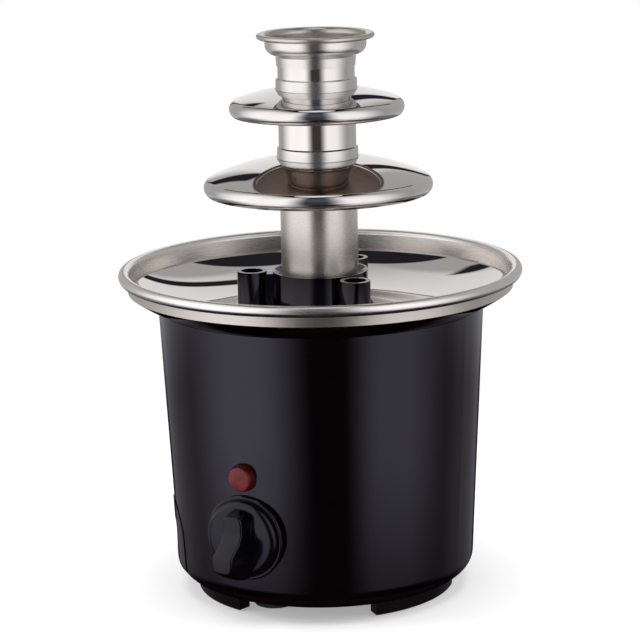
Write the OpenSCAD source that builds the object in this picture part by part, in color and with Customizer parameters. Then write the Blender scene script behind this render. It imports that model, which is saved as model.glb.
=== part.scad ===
// Table-top chocolate fountain: a heated steel bowl on a tapered plastic housing,
// with a lift-off tower of tubes, domes and a crown round a motor-driven screw.
// Millimetres, +Z up, origin on the table under the middle of the tower.
// A bearing is an angle from the front (the knob, -Y), growing towards +X.

/* [Housing] */
// Outer radius of the housing at its top edge, under the bowl
housing_r_top = 66.6; // [64:0.1:70]
// Outer radius of the housing just above its rounded shoulder
housing_r_low = 61.6; // [60:0.1:64]
// Height of the housing's top edge above the table
housing_top_z = 118.8; // [112:0.1:135]
// Height at which the rounded shoulder begins
shoulder_z = 14; // [13:0.5:17]
// Radius of the rounded shoulder
shoulder_r = 8; // [7:0.5:10]
// Height of the seam between housing and base cover
seam_z = 11; // [10:0.5:12]
// Wall of the housing
housing_wall = 2.4; // [2:0.1:3]

/* [Base cover and feet] */
// Thickness of the base cover's floor
cover_wall = 2.4; // [2:0.1:3]
// Angle that one moulded foot spans
foot_span = 56.5; // [40:0.5:70]
// Bearing of the middle of the first moulded foot
foot_bearing = 80; // [70:1:90]
// Radial depth of a moulded foot
foot_depth = 6; // [4:0.5:8]
// Radius of a rubber foot
pad_r = 8.2; // [7:0.1:9]
// Radius of the circle on which rubber feet and tie rods stand
pad_circle_r = 36; // [34:0.5:38]
// Bearing of the first rubber foot and tie rod
pad_bearing = -6; // [-10:1:0]
// Radius of a tie rod
rod_r = 3.2; // [3:0.1:3.6]

/* [Bowl] */
// Inside radius of the bowl's upright wall
bowl_wall_r = 78; // [75:0.1:84]
// Radius of the bowl's flat floor
bowl_floor_r = 36; // [35:0.5:39]
// Rise of the dish from its floor to the foot of the wall
dish_rise = 13.5; // [12:0.1:16]
// Height of the upright wall up to the middle of the rolled rim
bowl_wall_h = 6; // [5:0.1:9]
// Radius of the rolled rim
rim_roll_r = 2.25; // [2:0.05:2.6]
// Thickness of the bowl's sheet
sheet = 0.7; // [0.6:0.05:0.9]

/* [Tower hub] */
// Height of the hub above the bowl's floor
hub_h = 19.8; // [17:0.1:24]
// Outer radius of the hub's collar
hub_r = 19.5; // [19:0.1:20.5]
// Outer radius of a hub boss
boss_r = 6.1; // [5.8:0.1:6.5]
// Radius of the circle of bosses and locating studs
boss_circle_r = 27.9; // [27:0.1:29]
// Radius of a locating stud
stud_r = 4.2; // [4:0.1:4.4]
// Radius of the chocolate inlets at the foot of the hub
inlet_r = 7; // [5:0.5:7.5]

/* [Tower tubes and tiers] */
// Outer radius of the tower tubes
tube_r = 15.75; // [15.5:0.05:16]
// Wall of the tower tubes
tube_wall = 0.6; // [0.5:0.05:0.7]
// Height from the bowl's floor to the foot of the lower socket collar
lower_tier_h = 66.3; // [60:0.1:80]
// Height between the feet of the two socket collars
tier_step = 27.9; // [26:0.1:36]
// Visible height of a socket collar
collar_h = 4.6; // [4.2:0.1:6]
// Depth of a socket below its dome
socket_depth = 6; // [4:0.5:7]
// Radius of the lower dome's edge
lower_tier_r = 46.6; // [42:0.1:56]
// Drop of the lower dome from its neck to the middle of its edge round
lower_tier_drop = 11.5; // [9.5:0.1:14]
// Radius of the upper dome's edge
upper_tier_r = 35.5; // [31:0.1:40]
// Drop of the upper dome from its neck to the middle of its edge round
upper_tier_drop = 7.6; // [7:0.1:9.5]
// Radius of the round along a dome's edge
edge_round = 3.7; // [3:0.1:4.5]
// Angle by which a dome's edge curls under past its widest point
edge_curl = 50; // [40:1:70]

/* [Crown] */
// Height from the foot of the upper collar to the crown's neck
crown_neck_h = 9.3; // [9:0.1:16]
// Height of the crown's neck sleeve
neck_h = 4.4; // [4:0.1:6]
// Radius of the round under the crown's cup
cup_round = 4.3; // [3.5:0.1:5]
// Height of the crown's cup above its neck
cup_h = 8.7; // [7.5:0.1:10]
// Radius of the crown's lip
crown_lip_r = 23.8; // [23.6:0.1:24.5]
// Radius of the roll along the crown's lip
lip_roll_r = 0.95; // [0.8:0.05:1.2]

/* [Auger and drive] */
// Radius of the auger's flight
flight_r = 14.3; // [13:0.1:14.5]
// Radius of the auger's core
core_r = 7; // [6.6:0.1:8]
// Pitch of the auger's flight
flight_pitch = 22; // [18:1:28]
// Axial thickness of the flight
flight_t = 2.2; // [1.8:0.1:3]
// Radius of the drive shaft
shaft_r = 3.5; // [3:0.1:3.8]
// Length of the flatted end on which the auger sits
shaft_drive_len = 12; // [9:0.5:14]
// Radius of the gearbox
gearbox_r = 22; // [20:0.5:23]
// Height of the gearbox
gearbox_h = 14; // [12:0.5:18]
// Radius of the motor
motor_r = 19; // [16:0.5:21]
// Height of the motor
motor_h = 22; // [18:0.5:28]

/* [Heater] */
// Radius of the heater's circle
heater_circle_r = 44; // [42:0.5:47]
// Radius of the heater's tube
heater_tube_r = 3.2; // [3:0.1:3.5]
// Angle that the heater spans
heater_span = 310; // [280:5:320]

/* [Knob, switch and lamp] */
// Height of the knob's axis above the table
knob_z = 36; // [34:0.5:38]
// Radius of the knob's skirt
knob_r = 17.2; // [16:0.1:17.5]
// Reach of the knob from the back of its skirt to the top of its fin
knob_depth = 18.3; // [17:0.1:18.6]
// Half the width of the knob's fin
fin_half = 4.4; // [3.5:0.1:4.5]
// Radius of the switch's shaft
switch_shaft_r = 3; // [2.8:0.1:3.2]
// Width and height of the switch
switch_w = 26; // [24:0.5:28]
// Depth of the switch
switch_d = 14; // [12:0.5:15]
// Height of the indicator lamp above the table
lamp_z = 60.7; // [60:0.1:80]
// Radius of the lamp's lens
lamp_r = 5.75; // [5.4:0.05:6.5]
// How far the lens stands out of the housing
lamp_proud = 4.2; // [3:0.1:6]

/* [Cord inlet] */
// Bearing of the cord plate
cord_bearing = -54; // [-60:1:-52]
// Half the width of the arched cord plate
arch_half = 16; // [15:0.5:17]
// Height of the top of the arch above the table
arch_top_z = 39.5; // [38:0.5:44]
// How far the plate stands proud of the housing
plate_proud = 0.4; // [0.2:0.1:0.8]
// Radius of the cord hole in the gland
cord_hole_r = 3.6; // [3:0.1:4]

/* [Fits] */
// Radial clearance of a running fit
run_fit = 0.05; // [0.03:0.01:0.1]
// Radial clearance of a socket over a tube
slide_fit = 0.1; // [0.06:0.01:0.1]
// Clearance under a part that is lifted off
rest_gap = 0.3; // [0.2:0.05:0.4]
// Clearance between fixed pieces
fix_gap = 0.1; // [0.05:0.01:0.15]

/* [Hidden] */
$fn = 96;

// Levels of the body
lip_z = shoulder_z - shoulder_r;
foot_lift = 0.4;
foot_r = housing_r_low - shoulder_r - 0.3;
cover_top_z = lip_z + cover_wall;
function housing_r(z) = housing_r_low
    + (z - shoulder_z) * (housing_r_top - housing_r_low) / (housing_top_z - shoulder_z);
housing_in_low = housing_r_low - housing_wall;
spigot_wall = 1.8;
spigot_h = 3;

// The dish is an arc that leaves the flat floor level and ends at the foot of the wall
dish_r = (pow(bowl_wall_r - bowl_floor_r, 2) + pow(dish_rise, 2)) / (2 * dish_rise);
function arc_drop(radius, run) = sqrt(radius * radius - run * run);
floor_z = housing_top_z - dish_r
    + arc_drop(dish_r + sheet + fix_gap, housing_r_top - bowl_floor_r);
under_z = floor_z - sheet;
function dish_under_z(r) = r <= bowl_floor_r ? under_z
    : floor_z + dish_r - arc_drop(dish_r + sheet, r - bowl_floor_r);
crease_z = floor_z + dish_rise;
rim_z = crease_z + bowl_wall_h;
gasket_in_r = housing_r_top - 7.6;
gasket_out_r = housing_r_top - housing_wall - 0.6;
ledge_z = dish_under_z(gasket_in_r) - 2;
ledge_t = 2.4;

// Studs, nuts and the stack that hangs under the bowl
stud_bearings = [60, 180, 300];
thread_r = 2;
nut_r = 4;
nut_h = 3.2;
plate_t = 1.5;
stud_h = hub_h - 4.5;
heater_z = dish_under_z(heater_circle_r) - heater_tube_r - fix_gap;
heater_plate_z = heater_z - heater_tube_r - fix_gap - plate_t;
heater_plate_r = heater_circle_r + heater_tube_r + 1;
heater_pins = [5, heater_span - 5];
heater_pin_r = 2;
heater_pin_len = 12;
spacer_len = 9;
spacer_r = 3.6;
chassis_z = heater_plate_z - spacer_len - plate_t;
chassis_r = pad_circle_r + 9;
rod_bearings = [for (i = [0:2]) pad_bearing + 120 * i];

// Screws through the feet into the tie rods
screw_head_r = 3.4;
screw_head_z = 1.4;
screw_head_h = 2;
screw_reach = 12;

// Drive through the bowl's floor
bush_r = 5.4;
bush_flange_r = 9;
bush_flange_t = 1.4;
bush_neck_z = floor_z + 6.4;
bush_low_z = heater_plate_z + plate_t;
bush_nut_h = 3.6;
seal_h = 2.4;
shaft_foot_z = chassis_z - 9;
drive_z = bush_neck_z + seal_h + 1.2;
shaft_top_z = drive_z + shaft_drive_len;
shaft_flat = shaft_r - 0.9;
ear_reach = gearbox_r + 6;
ear_r = 5;
ear_t = 1.4;

// Auger
auger_foot_z = floor_z + bush_flange_t + rest_gap;
socket_fit = 0.12;
skirt_bore_r = bush_r + 0.35;

// Hub and tower
hub_z = floor_z + 0.2;
hub_top_z = floor_z + hub_h;
tube_in_r = tube_r - tube_wall;
tube_seat_z = hub_z + inlet_r + 1.2;
sleeve_bore_r = stud_r + 0.25;
hub_foot_h = 2.6;
hub_foot_w = 2;
hub_rim = 0.8;
hub_dish = 2.4;
web_t = 6;
web_drop = 1;
web_bite = 0.6;
web_len = boss_circle_r - sleeve_bore_r - web_bite - tube_r - 1.5;
collar_in_r = tube_r + slide_fit;
collar_r = collar_in_r + tube_wall + 0.05;
lower_neck_z = floor_z + lower_tier_h;
upper_neck_z = lower_neck_z + tier_step;
dome_hole_r = collar_r + 0.02;
lower_tube_top_z = lower_neck_z + collar_h - tube_wall - rest_gap;
middle_tube_top_z = upper_neck_z + collar_h - tube_wall - rest_gap;
neck_z = upper_neck_z + crown_neck_h;
upper_tube_r = tube_r - 0.15;
crown_in_r = upper_tube_r + 0.03;
crown_neck_r = crown_in_r + tube_wall;
cup_z = neck_z + neck_h;
cup_r = crown_neck_r + cup_round;
cup_flare_r = crown_lip_r - lip_roll_r - cup_r - 0.3;
cup_top_z = cup_z + cup_h;
flight_top_z = neck_z - 4;

// Knob, switch and lamp, measured outwards from the housing's face
knob_face_r = housing_r(knob_z);
knob_back = 0.9;
nut_seat = -0.9;
switch_pad_r = 13;
switch_pad = -5.2;
switch_bush_r = 4.5;
switch_bush_out = 1.6;
switch_nut_t = 2.2;
lamp_face_r = housing_r(lamp_z);
lamp_seat = -0.9;
lamp_stem_r = 4.6;
lamp_clip_z = -housing_wall - 1;
index_nub = [9.6, 17.2];
index_nub_r = 1.9;

// Fin of the knob, in heights above the back of the skirt
fin_low = 2;
fin_drop = 8;
fin_round = 5.1;
scoop_u = 4.5;
ridge_u = scoop_u - sqrt(4 * fin_round * fin_drop - fin_drop * fin_drop);
fin_nose_u = 13.2;
fin_tail_u = -16.6;
fin_waist = 2.4;
nose_flare = 4.6;
tail_flare = 5.2;
nose_lobe_u = 6.6;
tail_lobe_u = -7.5;

// Thermostat, fuse and terminal block: bearing and radius, then sizes
thermostat_place = [150, 33];
thermostat_r = 7.4;
thermostat_h = 8;
thermostat_ear_x = 10.5;
thermostat_ear_r = 3;
thermostat_ear_t = 0.8;
blade = [4.8, 8, 0.8];
fuse_place = [210, 38];
fuse_r = 2.2;
fuse_len = 14;
fuse_lead_r = 0.6;
fuse_lead = 7;
block_place = [-90, 36];
block = [26, 12, 12];
block_pitch = 8;
block_hole_r = 1.8;
block_screw_r = 2;
screw_top_r = 3.6;
screw_top_h = 2.4;

// Cord plate
arch_fit = 0.15;
arch_lip = 2.5;
arch_lip_t = 1.7;
gland_z = seam_z + 11.5;
gland_r = 6.2;
gland_flange_r = 8;
gland_flange_t = 1.4;
gland_in = 9;
plate_face_r = housing_r(gland_z) + plate_proud;

// Stands a child at a bearing, a radius and a height
module stand(bearing, r = 0, z = 0) rotate([0, 0, bearing]) translate([0, -r, z]) children();

// Turns a child so that its +Z points outwards at a bearing and its +Y points up
module face_out(bearing, r, z) stand(bearing, r, z) rotate([90, 0, 0]) children();

module each_stud() for (b = stud_bearings) stand(b, boss_circle_r) children();

module each_rod() for (b = rod_bearings) stand(b, pad_circle_r) children();

module tube(outer, inner, z, h) translate([0, 0, z]) difference() {
    cylinder(r = outer, h = h);
    translate([0, 0, -1]) cylinder(r = inner, h = h + 2);
}

module hex_nut(corner_r, bore_r, z, h) translate([0, 0, z]) difference() {
    cylinder(r = corner_r, h = h, $fn = 6);
    translate([0, 0, -1]) cylinder(r = bore_r, h = h + 2);
}

// Outside of housing and base cover as a half section, filled to the axis
module body_section(extra = 0) {
    top = housing_top_z + 2;
    polygon([[0, shoulder_z], [housing_r_low + extra, shoulder_z],
        [housing_r(top) + extra, top], [0, top]]);
    intersection() {
        translate([housing_r_low - shoulder_r, shoulder_z]) circle(shoulder_r + extra);
        translate([0, lip_z]) square([housing_r_low + extra, shoulder_r]);
    }
    translate([0, lip_z]) square([housing_r_low - shoulder_r, shoulder_r]);
}

module housing_inside() {
    top = housing_top_z + 3;
    polygon([[0, seam_z - 1], [housing_in_low, seam_z - 1], [housing_in_low, shoulder_z],
        [housing_r(top) - housing_wall, top], [0, top]]);
}

// Space that the dish fills, with a gap below its sheet
module dish_space(gap) {
    translate([bowl_floor_r, floor_z + dish_r]) circle(dish_r + sheet + gap);
    translate([0, under_z - gap]) square([bowl_floor_r, dish_r]);
}

// Outline of the cord plate seen from outside: straight legs under a round arch
module arch_outline(grow = 0) {
    middle_z = arch_top_z - arch_half;
    translate([0, middle_z]) circle(arch_half + grow);
    translate([-arch_half - grow, 0]) square([2 * (arch_half + grow), middle_z]);
}

module arch_prism(grow = 0) stand(cord_bearing, 0, 0) rotate([90, 0, 0])
    linear_extrude(height = housing_r_top * 1.3) arch_outline(grow);

module housing() color("#17161a") difference() {
    union() {
        rotate_extrude() difference() {
            intersection() {
                body_section();
                translate([0, seam_z]) square([housing_r_top * 1.2, housing_top_z]);
            }
            difference() {
                housing_inside();
                translate([gasket_in_r - 0.4, ledge_z - ledge_t])
                    square([housing_r_top - gasket_in_r, ledge_t]);
            }
            dish_space(fix_gap);
        }
        intersection() {
            face_out(0, knob_face_r, knob_z) translate([0, 0, switch_pad])
                cylinder(r = switch_pad_r, h = -switch_pad + 1);
            rotate_extrude() body_section();
        }
        index_mark();
    }
    face_out(0, knob_face_r, knob_z) {
        translate([0, 0, switch_pad - 1]) cylinder(r = switch_bush_r + fix_gap, h = 20);
        translate([0, 0, nut_seat]) cylinder(r = switch_pad_r - 4, h = 10);
    }
    face_out(0, lamp_face_r, lamp_z) {
        translate([0, 0, -10]) cylinder(r = lamp_stem_r + fix_gap, h = 20);
        translate([0, 0, lamp_seat]) cylinder(r = lamp_r + fix_gap, h = 10);
    }
    arch_prism(arch_fit);
}

// Raised dot that marks the knob's off position on the housing
module index_mark() {
    z = knob_z + index_nub[1];
    bearing = asin(index_nub[0] / housing_r(z));
    stand(bearing, housing_r(z), z) sphere(index_nub_r);
}

module base_cover() color("#2a2322") difference() {
    union() {
        rotate_extrude() {
            difference() {
                intersection() {
                    body_section();
                    translate([0, lip_z]) square([housing_r_low * 1.2, seam_z - lip_z]);
                }
                translate([0, cover_top_z])
                    square([housing_in_low - fix_gap - spigot_wall, seam_z]);
            }
            translate([housing_in_low - fix_gap - spigot_wall, cover_top_z])
                square([spigot_wall, seam_z + spigot_h - cover_top_z]);
        }
        for (i = [0:2]) rotate([0, 0, foot_bearing + 120 * i - 90 - foot_span / 2])
            rotate_extrude(angle = foot_span) translate([foot_r - foot_depth, foot_lift])
                square([foot_depth, lip_z - foot_lift + 0.5]);
    }
    each_rod() cylinder(r = thread_r + 0.2, h = 40);
    vent_slots();
    intersection() {
        arch_prism(arch_lip + arch_fit);
        translate([-housing_r_top, -housing_r_top, seam_z])
            cube([2 * housing_r_top, 2 * housing_r_top, spigot_h + 1]);
    }
}

// Ring of slots in the base cover that lets warm air out
module vent_slots() {
    slot_w = 3;
    slot_len = 12;
    for (i = [0:11]) stand(pad_bearing + 15 + 30 * i, 16, lip_z - 1) {
        translate([-slot_w / 2, -slot_len / 2, 0]) cube([slot_w, slot_len, cover_wall + 2]);
        for (end = [-1, 1]) translate([0, end * slot_len / 2, 0])
            cylinder(d = slot_w, h = cover_wall + 2);
    }
}

module rubber_feet() color("#1b1a1a") each_rod() difference() {
    cylinder(r = pad_r, h = lip_z);
    translate([0, 0, -1]) cylinder(r = screw_head_r + 0.3, h = screw_head_z + screw_head_h + 1);
    cylinder(r = thread_r + 0.2, h = lip_z + 1);
    for (z = [2, 3.8]) tube(pad_r + 1, pad_r - 0.5, z, 0.6);
}

module cover_screws() color("#9a9a98") each_rod() {
    difference() {
        translate([0, 0, screw_head_z]) cylinder(r = screw_head_r, h = screw_head_h);
        for (turn = [0, 90]) rotate([0, 0, turn]) translate([-2.2, -0.45, screw_head_z - 1])
            cube([4.4, 0.9, 1.9]);
    }
    translate([0, 0, screw_head_z + screw_head_h])
        cylinder(r = thread_r, h = cover_top_z + screw_reach - screw_head_z - screw_head_h);
}

module tie_rods() color("#b5b4b0") each_rod() difference() {
    union() {
        translate([0, 0, cover_top_z]) cylinder(r = rod_r, h = chassis_z - cover_top_z);
        translate([0, 0, chassis_z - 1]) cylinder(r = thread_r, h = plate_t + nut_h + 2);
    }
    translate([0, 0, cover_top_z - 1])
        cylinder(r = thread_r + run_fit, h = screw_reach + 3);
}

module rod_nuts() color("#c2c1bd") each_rod()
    hex_nut(nut_r, thread_r + run_fit, chassis_z + plate_t, nut_h);

module chassis_plate() color("#a9a9a6") difference() {
    translate([0, 0, chassis_z]) cylinder(r = chassis_r, h = plate_t);
    translate([0, 0, chassis_z - 1]) {
        cylinder(r = shaft_r + 3, h = plate_t + 2);
        each_stud() cylinder(r = thread_r + 0.1, h = plate_t + 2);
        each_rod() cylinder(r = thread_r + 0.1, h = plate_t + 2);
        for (side = [-1, 1]) translate([side * ear_reach, 0, 0])
            cylinder(r = thread_r + 0.1, h = plate_t + 2);
    }
}

module chassis_spacers() color("#cfcfca") each_stud()
    tube(spacer_r, thread_r + 0.1, chassis_z + plate_t, spacer_len);

module chassis_nuts() color("#c2c1bd") each_stud()
    hex_nut(nut_r, thread_r + run_fit, chassis_z - nut_h, nut_h);

module bowl_nuts() color("#c2c1bd") each_stud()
    hex_nut(nut_r, thread_r + run_fit, under_z - nut_h, nut_h);

// Half section of the bowl: floor, arc of the dish, wall and open roll of the rim
module bowl_section() {
    roll_x = bowl_wall_r + rim_roll_r;
    translate([bush_r + fix_gap, under_z]) square([bowl_floor_r - bush_r, sheet]);
    intersection() {
        translate([bowl_floor_r, floor_z + dish_r]) difference() {
            circle(dish_r + sheet, $fn = 360);
            circle(dish_r, $fn = 360);
        }
        translate([bowl_floor_r, under_z]) square([bowl_wall_r + sheet - bowl_floor_r, dish_r]);
        translate([bowl_floor_r, under_z]) square([bowl_wall_r, dish_rise + sheet * 2]);
    }
    translate([bowl_wall_r, crease_z]) square([sheet, bowl_wall_h]);
    difference() {
        translate([roll_x, rim_z]) circle(rim_roll_r);
        translate([roll_x, rim_z]) circle(rim_roll_r - sheet);
        translate([bowl_wall_r + sheet, rim_z - 2 * rim_roll_r])
            square([rim_roll_r - sheet + 0.6, 2 * rim_roll_r]);
    }
}

module bowl() color("#c9c8c4") difference() {
    rotate_extrude() bowl_section();
    each_stud() cylinder(r = thread_r + 0.1, h = floor_z + 5);
}

module bowl_gasket() color("#7d7b78") rotate_extrude() difference() {
    translate([gasket_in_r, ledge_z]) square([gasket_out_r - gasket_in_r, 6]);
    dish_space(fix_gap);
}

module locating_studs() color("#d2d1cd") each_stud() {
    tip = 1.6;
    translate([0, 0, floor_z]) cylinder(r = stud_r, h = stud_h - tip);
    translate([0, 0, floor_z + stud_h - tip]) cylinder(r1 = stud_r, r2 = stud_r - tip, h = tip);
    translate([0, 0, chassis_z - nut_h - 1])
        cylinder(r = thread_r, h = floor_z - chassis_z + nut_h + 1.5);
}

// Tubular heater bent into an open ring, with a pin turned down near each end
module heater_ring() color("#8f8a84") {
    rotate([0, 0, 90 - heater_span / 2]) {
        rotate_extrude(angle = heater_span) translate([heater_circle_r, heater_z])
            circle(heater_tube_r);
        for (end = heater_pins) rotate([0, 0, end]) translate([heater_circle_r, 0, 0])
            translate([0, 0, heater_z - heater_pin_len])
                cylinder(r = heater_pin_r, h = heater_pin_len);
    }
}

// Plate that holds the heater up against the bowl, with bosses up to the stud nuts
module heater_plate() color("#bdbdb9") difference() {
    union() {
        translate([0, 0, heater_plate_z]) cylinder(r = heater_plate_r, h = plate_t);
        each_stud() translate([0, 0, heater_plate_z])
            cylinder(r = nut_r + 1, h = under_z - nut_h - heater_plate_z);
    }
    translate([0, 0, heater_plate_z - 1]) {
        cylinder(r = 11, h = plate_t + 2);
        each_stud() cylinder(r = thread_r + 0.1, h = 30);
        rotate([0, 0, 90 - heater_span / 2]) for (end = heater_pins) rotate([0, 0, end])
            translate([heater_circle_r, 0, 0]) cylinder(r = heater_pin_r + 0.6, h = plate_t + 2);
    }
}

// Disc thermostat under the heater plate, with blade tabs that point to the middle
module thermostat() color("#d8d2c4")
    stand(thermostat_place[0], thermostat_place[1], heater_plate_z) {
        translate([0, 0, -thermostat_h]) cylinder(r = thermostat_r, h = thermostat_h);
        for (side = [-1, 1]) {
            translate([side * blade[0] * 0.7 - blade[0] / 2, thermostat_r - 2, blade[2] - thermostat_h])
                cube(blade);
            translate([side * thermostat_ear_x, 0, -thermostat_ear_t])
                cylinder(r = thermostat_ear_r, h = thermostat_ear_t);
        }
        translate([-thermostat_ear_x, -thermostat_ear_r, -thermostat_ear_t])
            cube([2 * thermostat_ear_x, 2 * thermostat_ear_r, thermostat_ear_t]);
    }

module thermal_fuse() color("#c9b98f") stand(fuse_place[0], fuse_place[1], heater_plate_z)
    rotate([0, 90, 0]) translate([fuse_r + fix_gap, 0, 0]) {
        cylinder(r = fuse_r, h = fuse_len, center = true);
        cylinder(r = fuse_lead_r, h = fuse_len + 2 * fuse_lead, center = true);
    }

module gearbox_case() color("#b9b8b4") difference() {
    union() {
        translate([0, 0, chassis_z - gearbox_h]) cylinder(r = gearbox_r, h = gearbox_h);
        translate([-ear_reach, -ear_r, chassis_z - ear_t]) cube([2 * ear_reach, 2 * ear_r, ear_t]);
        for (side = [-1, 1]) translate([side * ear_reach, 0, chassis_z - ear_t])
            cylinder(r = ear_r, h = ear_t);
    }
    translate([0, 0, shaft_foot_z - rest_gap]) cylinder(r = shaft_r + run_fit, h = 30);
    for (side = [-1, 1]) translate([side * ear_reach, 0, chassis_z - ear_t - 1])
        cylinder(r = thread_r + run_fit, h = ear_t + 2);
}

module motor_can() color("#9d9c99") {
    top = chassis_z - gearbox_h;
    translate([0, 0, top - motor_h]) cylinder(r = motor_r, h = motor_h);
    translate([0, 0, top - motor_h - 3]) cylinder(r = motor_r * 0.4, h = 3.5);
    for (side = [-1, 1]) translate([side * motor_r * 0.7 - 2.4, -0.4, top - motor_h - 6])
        cube([4.8, 0.8, 6.5]);
}

module motor_screws() color("#9a9a98") for (side = [-1, 1]) translate([side * ear_reach, 0, 0]) {
    translate([0, 0, chassis_z + plate_t]) cylinder(r = screw_top_r, h = screw_top_h);
    translate([0, 0, chassis_z - ear_t - 2]) cylinder(r = thread_r, h = plate_t + ear_t + 3);
}

module shaft_bush() color("#d9d7cf") difference() {
    union() {
        translate([0, 0, bush_low_z]) cylinder(r = bush_r, h = bush_neck_z - bush_low_z);
        translate([0, 0, floor_z]) cylinder(r = bush_flange_r, h = bush_flange_t);
    }
    translate([0, 0, bush_low_z - 1]) cylinder(r = shaft_r + run_fit, h = 60);
}

module bush_nut() color("#c2c1bd")
    hex_nut(bush_r + 3, bush_r + run_fit, under_z - bush_nut_h, bush_nut_h);

module shaft_seal() color("#3a3836") translate([0, 0, bush_neck_z]) difference() {
    cylinder(r1 = bush_r, r2 = bush_r - 0.8, h = seal_h);
    translate([0, 0, -1]) cylinder(r = shaft_r + run_fit, h = seal_h + 2);
}

module drive_shaft() color("#d5d4d0") difference() {
    translate([0, 0, shaft_foot_z]) cylinder(r = shaft_r, h = shaft_top_z - shaft_foot_z);
    translate([shaft_flat, -10, drive_z]) cube([10, 20, shaft_drive_len + 1]);
}

// Sector of an annulus that sweeps out the flight when it is twisted
module flight_sector() {
    half = 180 * flight_t / flight_pitch;
    steps = 4;
    inner = core_r - 0.3;
    polygon(concat(
        [for (i = [0:steps]) flight_r * [cos(half * (2 * i / steps - 1)),
            sin(half * (2 * i / steps - 1))]],
        [for (i = [0:1]) inner * [cos(half * (1 - 2 * i)), sin(half * (1 - 2 * i))]]));
}

module auger() color("#e6e2d6") {
    flight_len = flight_top_z - auger_foot_z;
    difference() {
        union() {
            translate([0, 0, auger_foot_z]) cylinder(r = core_r, h = flight_len + 2);
            translate([0, 0, auger_foot_z + flight_len + 2]) sphere(core_r);
        }
        translate([0, 0, auger_foot_z - 1])
            cylinder(r = skirt_bore_r, h = drive_z + rest_gap - auger_foot_z + 1);
        intersection() {
            translate([0, 0, drive_z])
                cylinder(r = shaft_r + socket_fit, h = shaft_drive_len + rest_gap);
            translate([-10 - shaft_r, -10, drive_z - 2])
                cube([10 + shaft_r + shaft_flat + socket_fit, 20, shaft_drive_len + 5]);
        }
    }
    translate([0, 0, auger_foot_z]) linear_extrude(height = flight_len,
        twist = -360 * flight_len / flight_pitch,
        slices = ceil(flight_len / flight_pitch * 32), segments = 0, $fn = 6) flight_sector();
}

// Half section of the hub's collar: tube seat and a dished top round the tube
module hub_section() polygon([[tube_in_r, hub_z], [hub_r, hub_z], [hub_r, hub_top_z],
    [hub_r - hub_rim, hub_top_z],
    [tube_r + run_fit, hub_top_z - hub_dish], [tube_r + run_fit, tube_seat_z],
    [tube_in_r, tube_seat_z]]);

// Half section of a hub boss with its flared foot
module boss_section() polygon([[sleeve_bore_r, hub_z], [boss_r + hub_foot_w, hub_z],
    [boss_r, hub_z + hub_foot_h], [boss_r, hub_top_z], [sleeve_bore_r, hub_top_z]]);

module tower_hub() color("#141316") difference() {
    union() {
        rotate_extrude() hub_section();
        each_stud() rotate_extrude() boss_section();
        for (b = stud_bearings) stand(b, boss_circle_r - sleeve_bore_r - web_bite, hub_z)
            translate([-web_t / 2, 0, 0]) cube([web_t, web_len, hub_top_z - hub_z - web_drop]);
    }
    for (b = stud_bearings) face_out(b + 60, 0, hub_z) cylinder(r = inlet_r, h = 60);
}

module lower_tube() color("#d6d2c9") tube(tube_r, tube_in_r, tube_seat_z,
    lower_tube_top_z - tube_seat_z);

// Tube with its lower end expanded into a socket that sits over the tube below
module socket_tube(outer, neck_level, top_level) {
    foot = neck_level - socket_depth;
    shoulder = neck_level + collar_h;
    tube(collar_r, collar_in_r, foot, shoulder - foot);
    tube(collar_r, outer - tube_wall, shoulder - tube_wall, tube_wall);
    tube(outer, outer - tube_wall, shoulder - tube_wall, top_level - shoulder + tube_wall);
}

// Polished dome: a slice of a sphere that runs smoothly into a round edge that curls under.
// The sphere's radius is the one that passes through the neck and touches the round.
module dome(edge_r, drop, neck_level) {
    round_x = edge_r - edge_round;
    round_z = neck_level - drop;
    k = pow(edge_round, 2) - pow(dome_hole_r, 2) - pow(drop, 2) + pow(round_x, 2);
    d = pow(drop, 2) - pow(edge_round, 2);
    reach = (edge_round * k
        + sqrt(pow(edge_round * k, 2) + d * (k * k + pow(2 * drop * round_x, 2)))) / (2 * d);
    sphere_r = reach + edge_round;
    turn = asin(round_x / reach);
    sphere_z = round_z - reach * cos(turn);
    curl_depth = edge_round * sin(edge_curl);
    module filled(inset) {
        intersection() {
            translate([0, sphere_z]) circle(sphere_r - inset, $fn = 360);
            translate([0, sphere_z]) polygon([[0, 0],
                2 * sphere_r * [sin(turn), cos(turn)], [0, 2 * sphere_r]]);
        }
        translate([round_x, round_z]) circle(edge_round - inset);
        translate([0, round_z - edge_round]) square([round_x, edge_round]);
    }
    rotate_extrude() intersection() {
        difference() {
            filled(0);
            filled(tube_wall);
        }
        translate([dome_hole_r, round_z - curl_depth]) square([edge_r, drop + curl_depth + 1]);
    }
}

module lower_tier() color("#cbc8c4") dome(lower_tier_r, lower_tier_drop, lower_neck_z);

module middle_tube() color("#d6d2c9") socket_tube(tube_r, lower_neck_z, middle_tube_top_z);

module upper_tier() color("#cbc8c4") dome(upper_tier_r, upper_tier_drop, upper_neck_z);

module upper_tube() color("#d6d2c9") socket_tube(upper_tube_r, upper_neck_z, cup_z);

// Quarter of a ring between two radii, in the quadrant given by the signs of x and y
module quarter_ring(outer, inner, sx, sy) intersection() {
    difference() {
        circle(outer);
        circle(inner);
    }
    translate([sx < 0 ? -outer : 0, sy < 0 ? -outer : 0]) square(outer);
}

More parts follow.
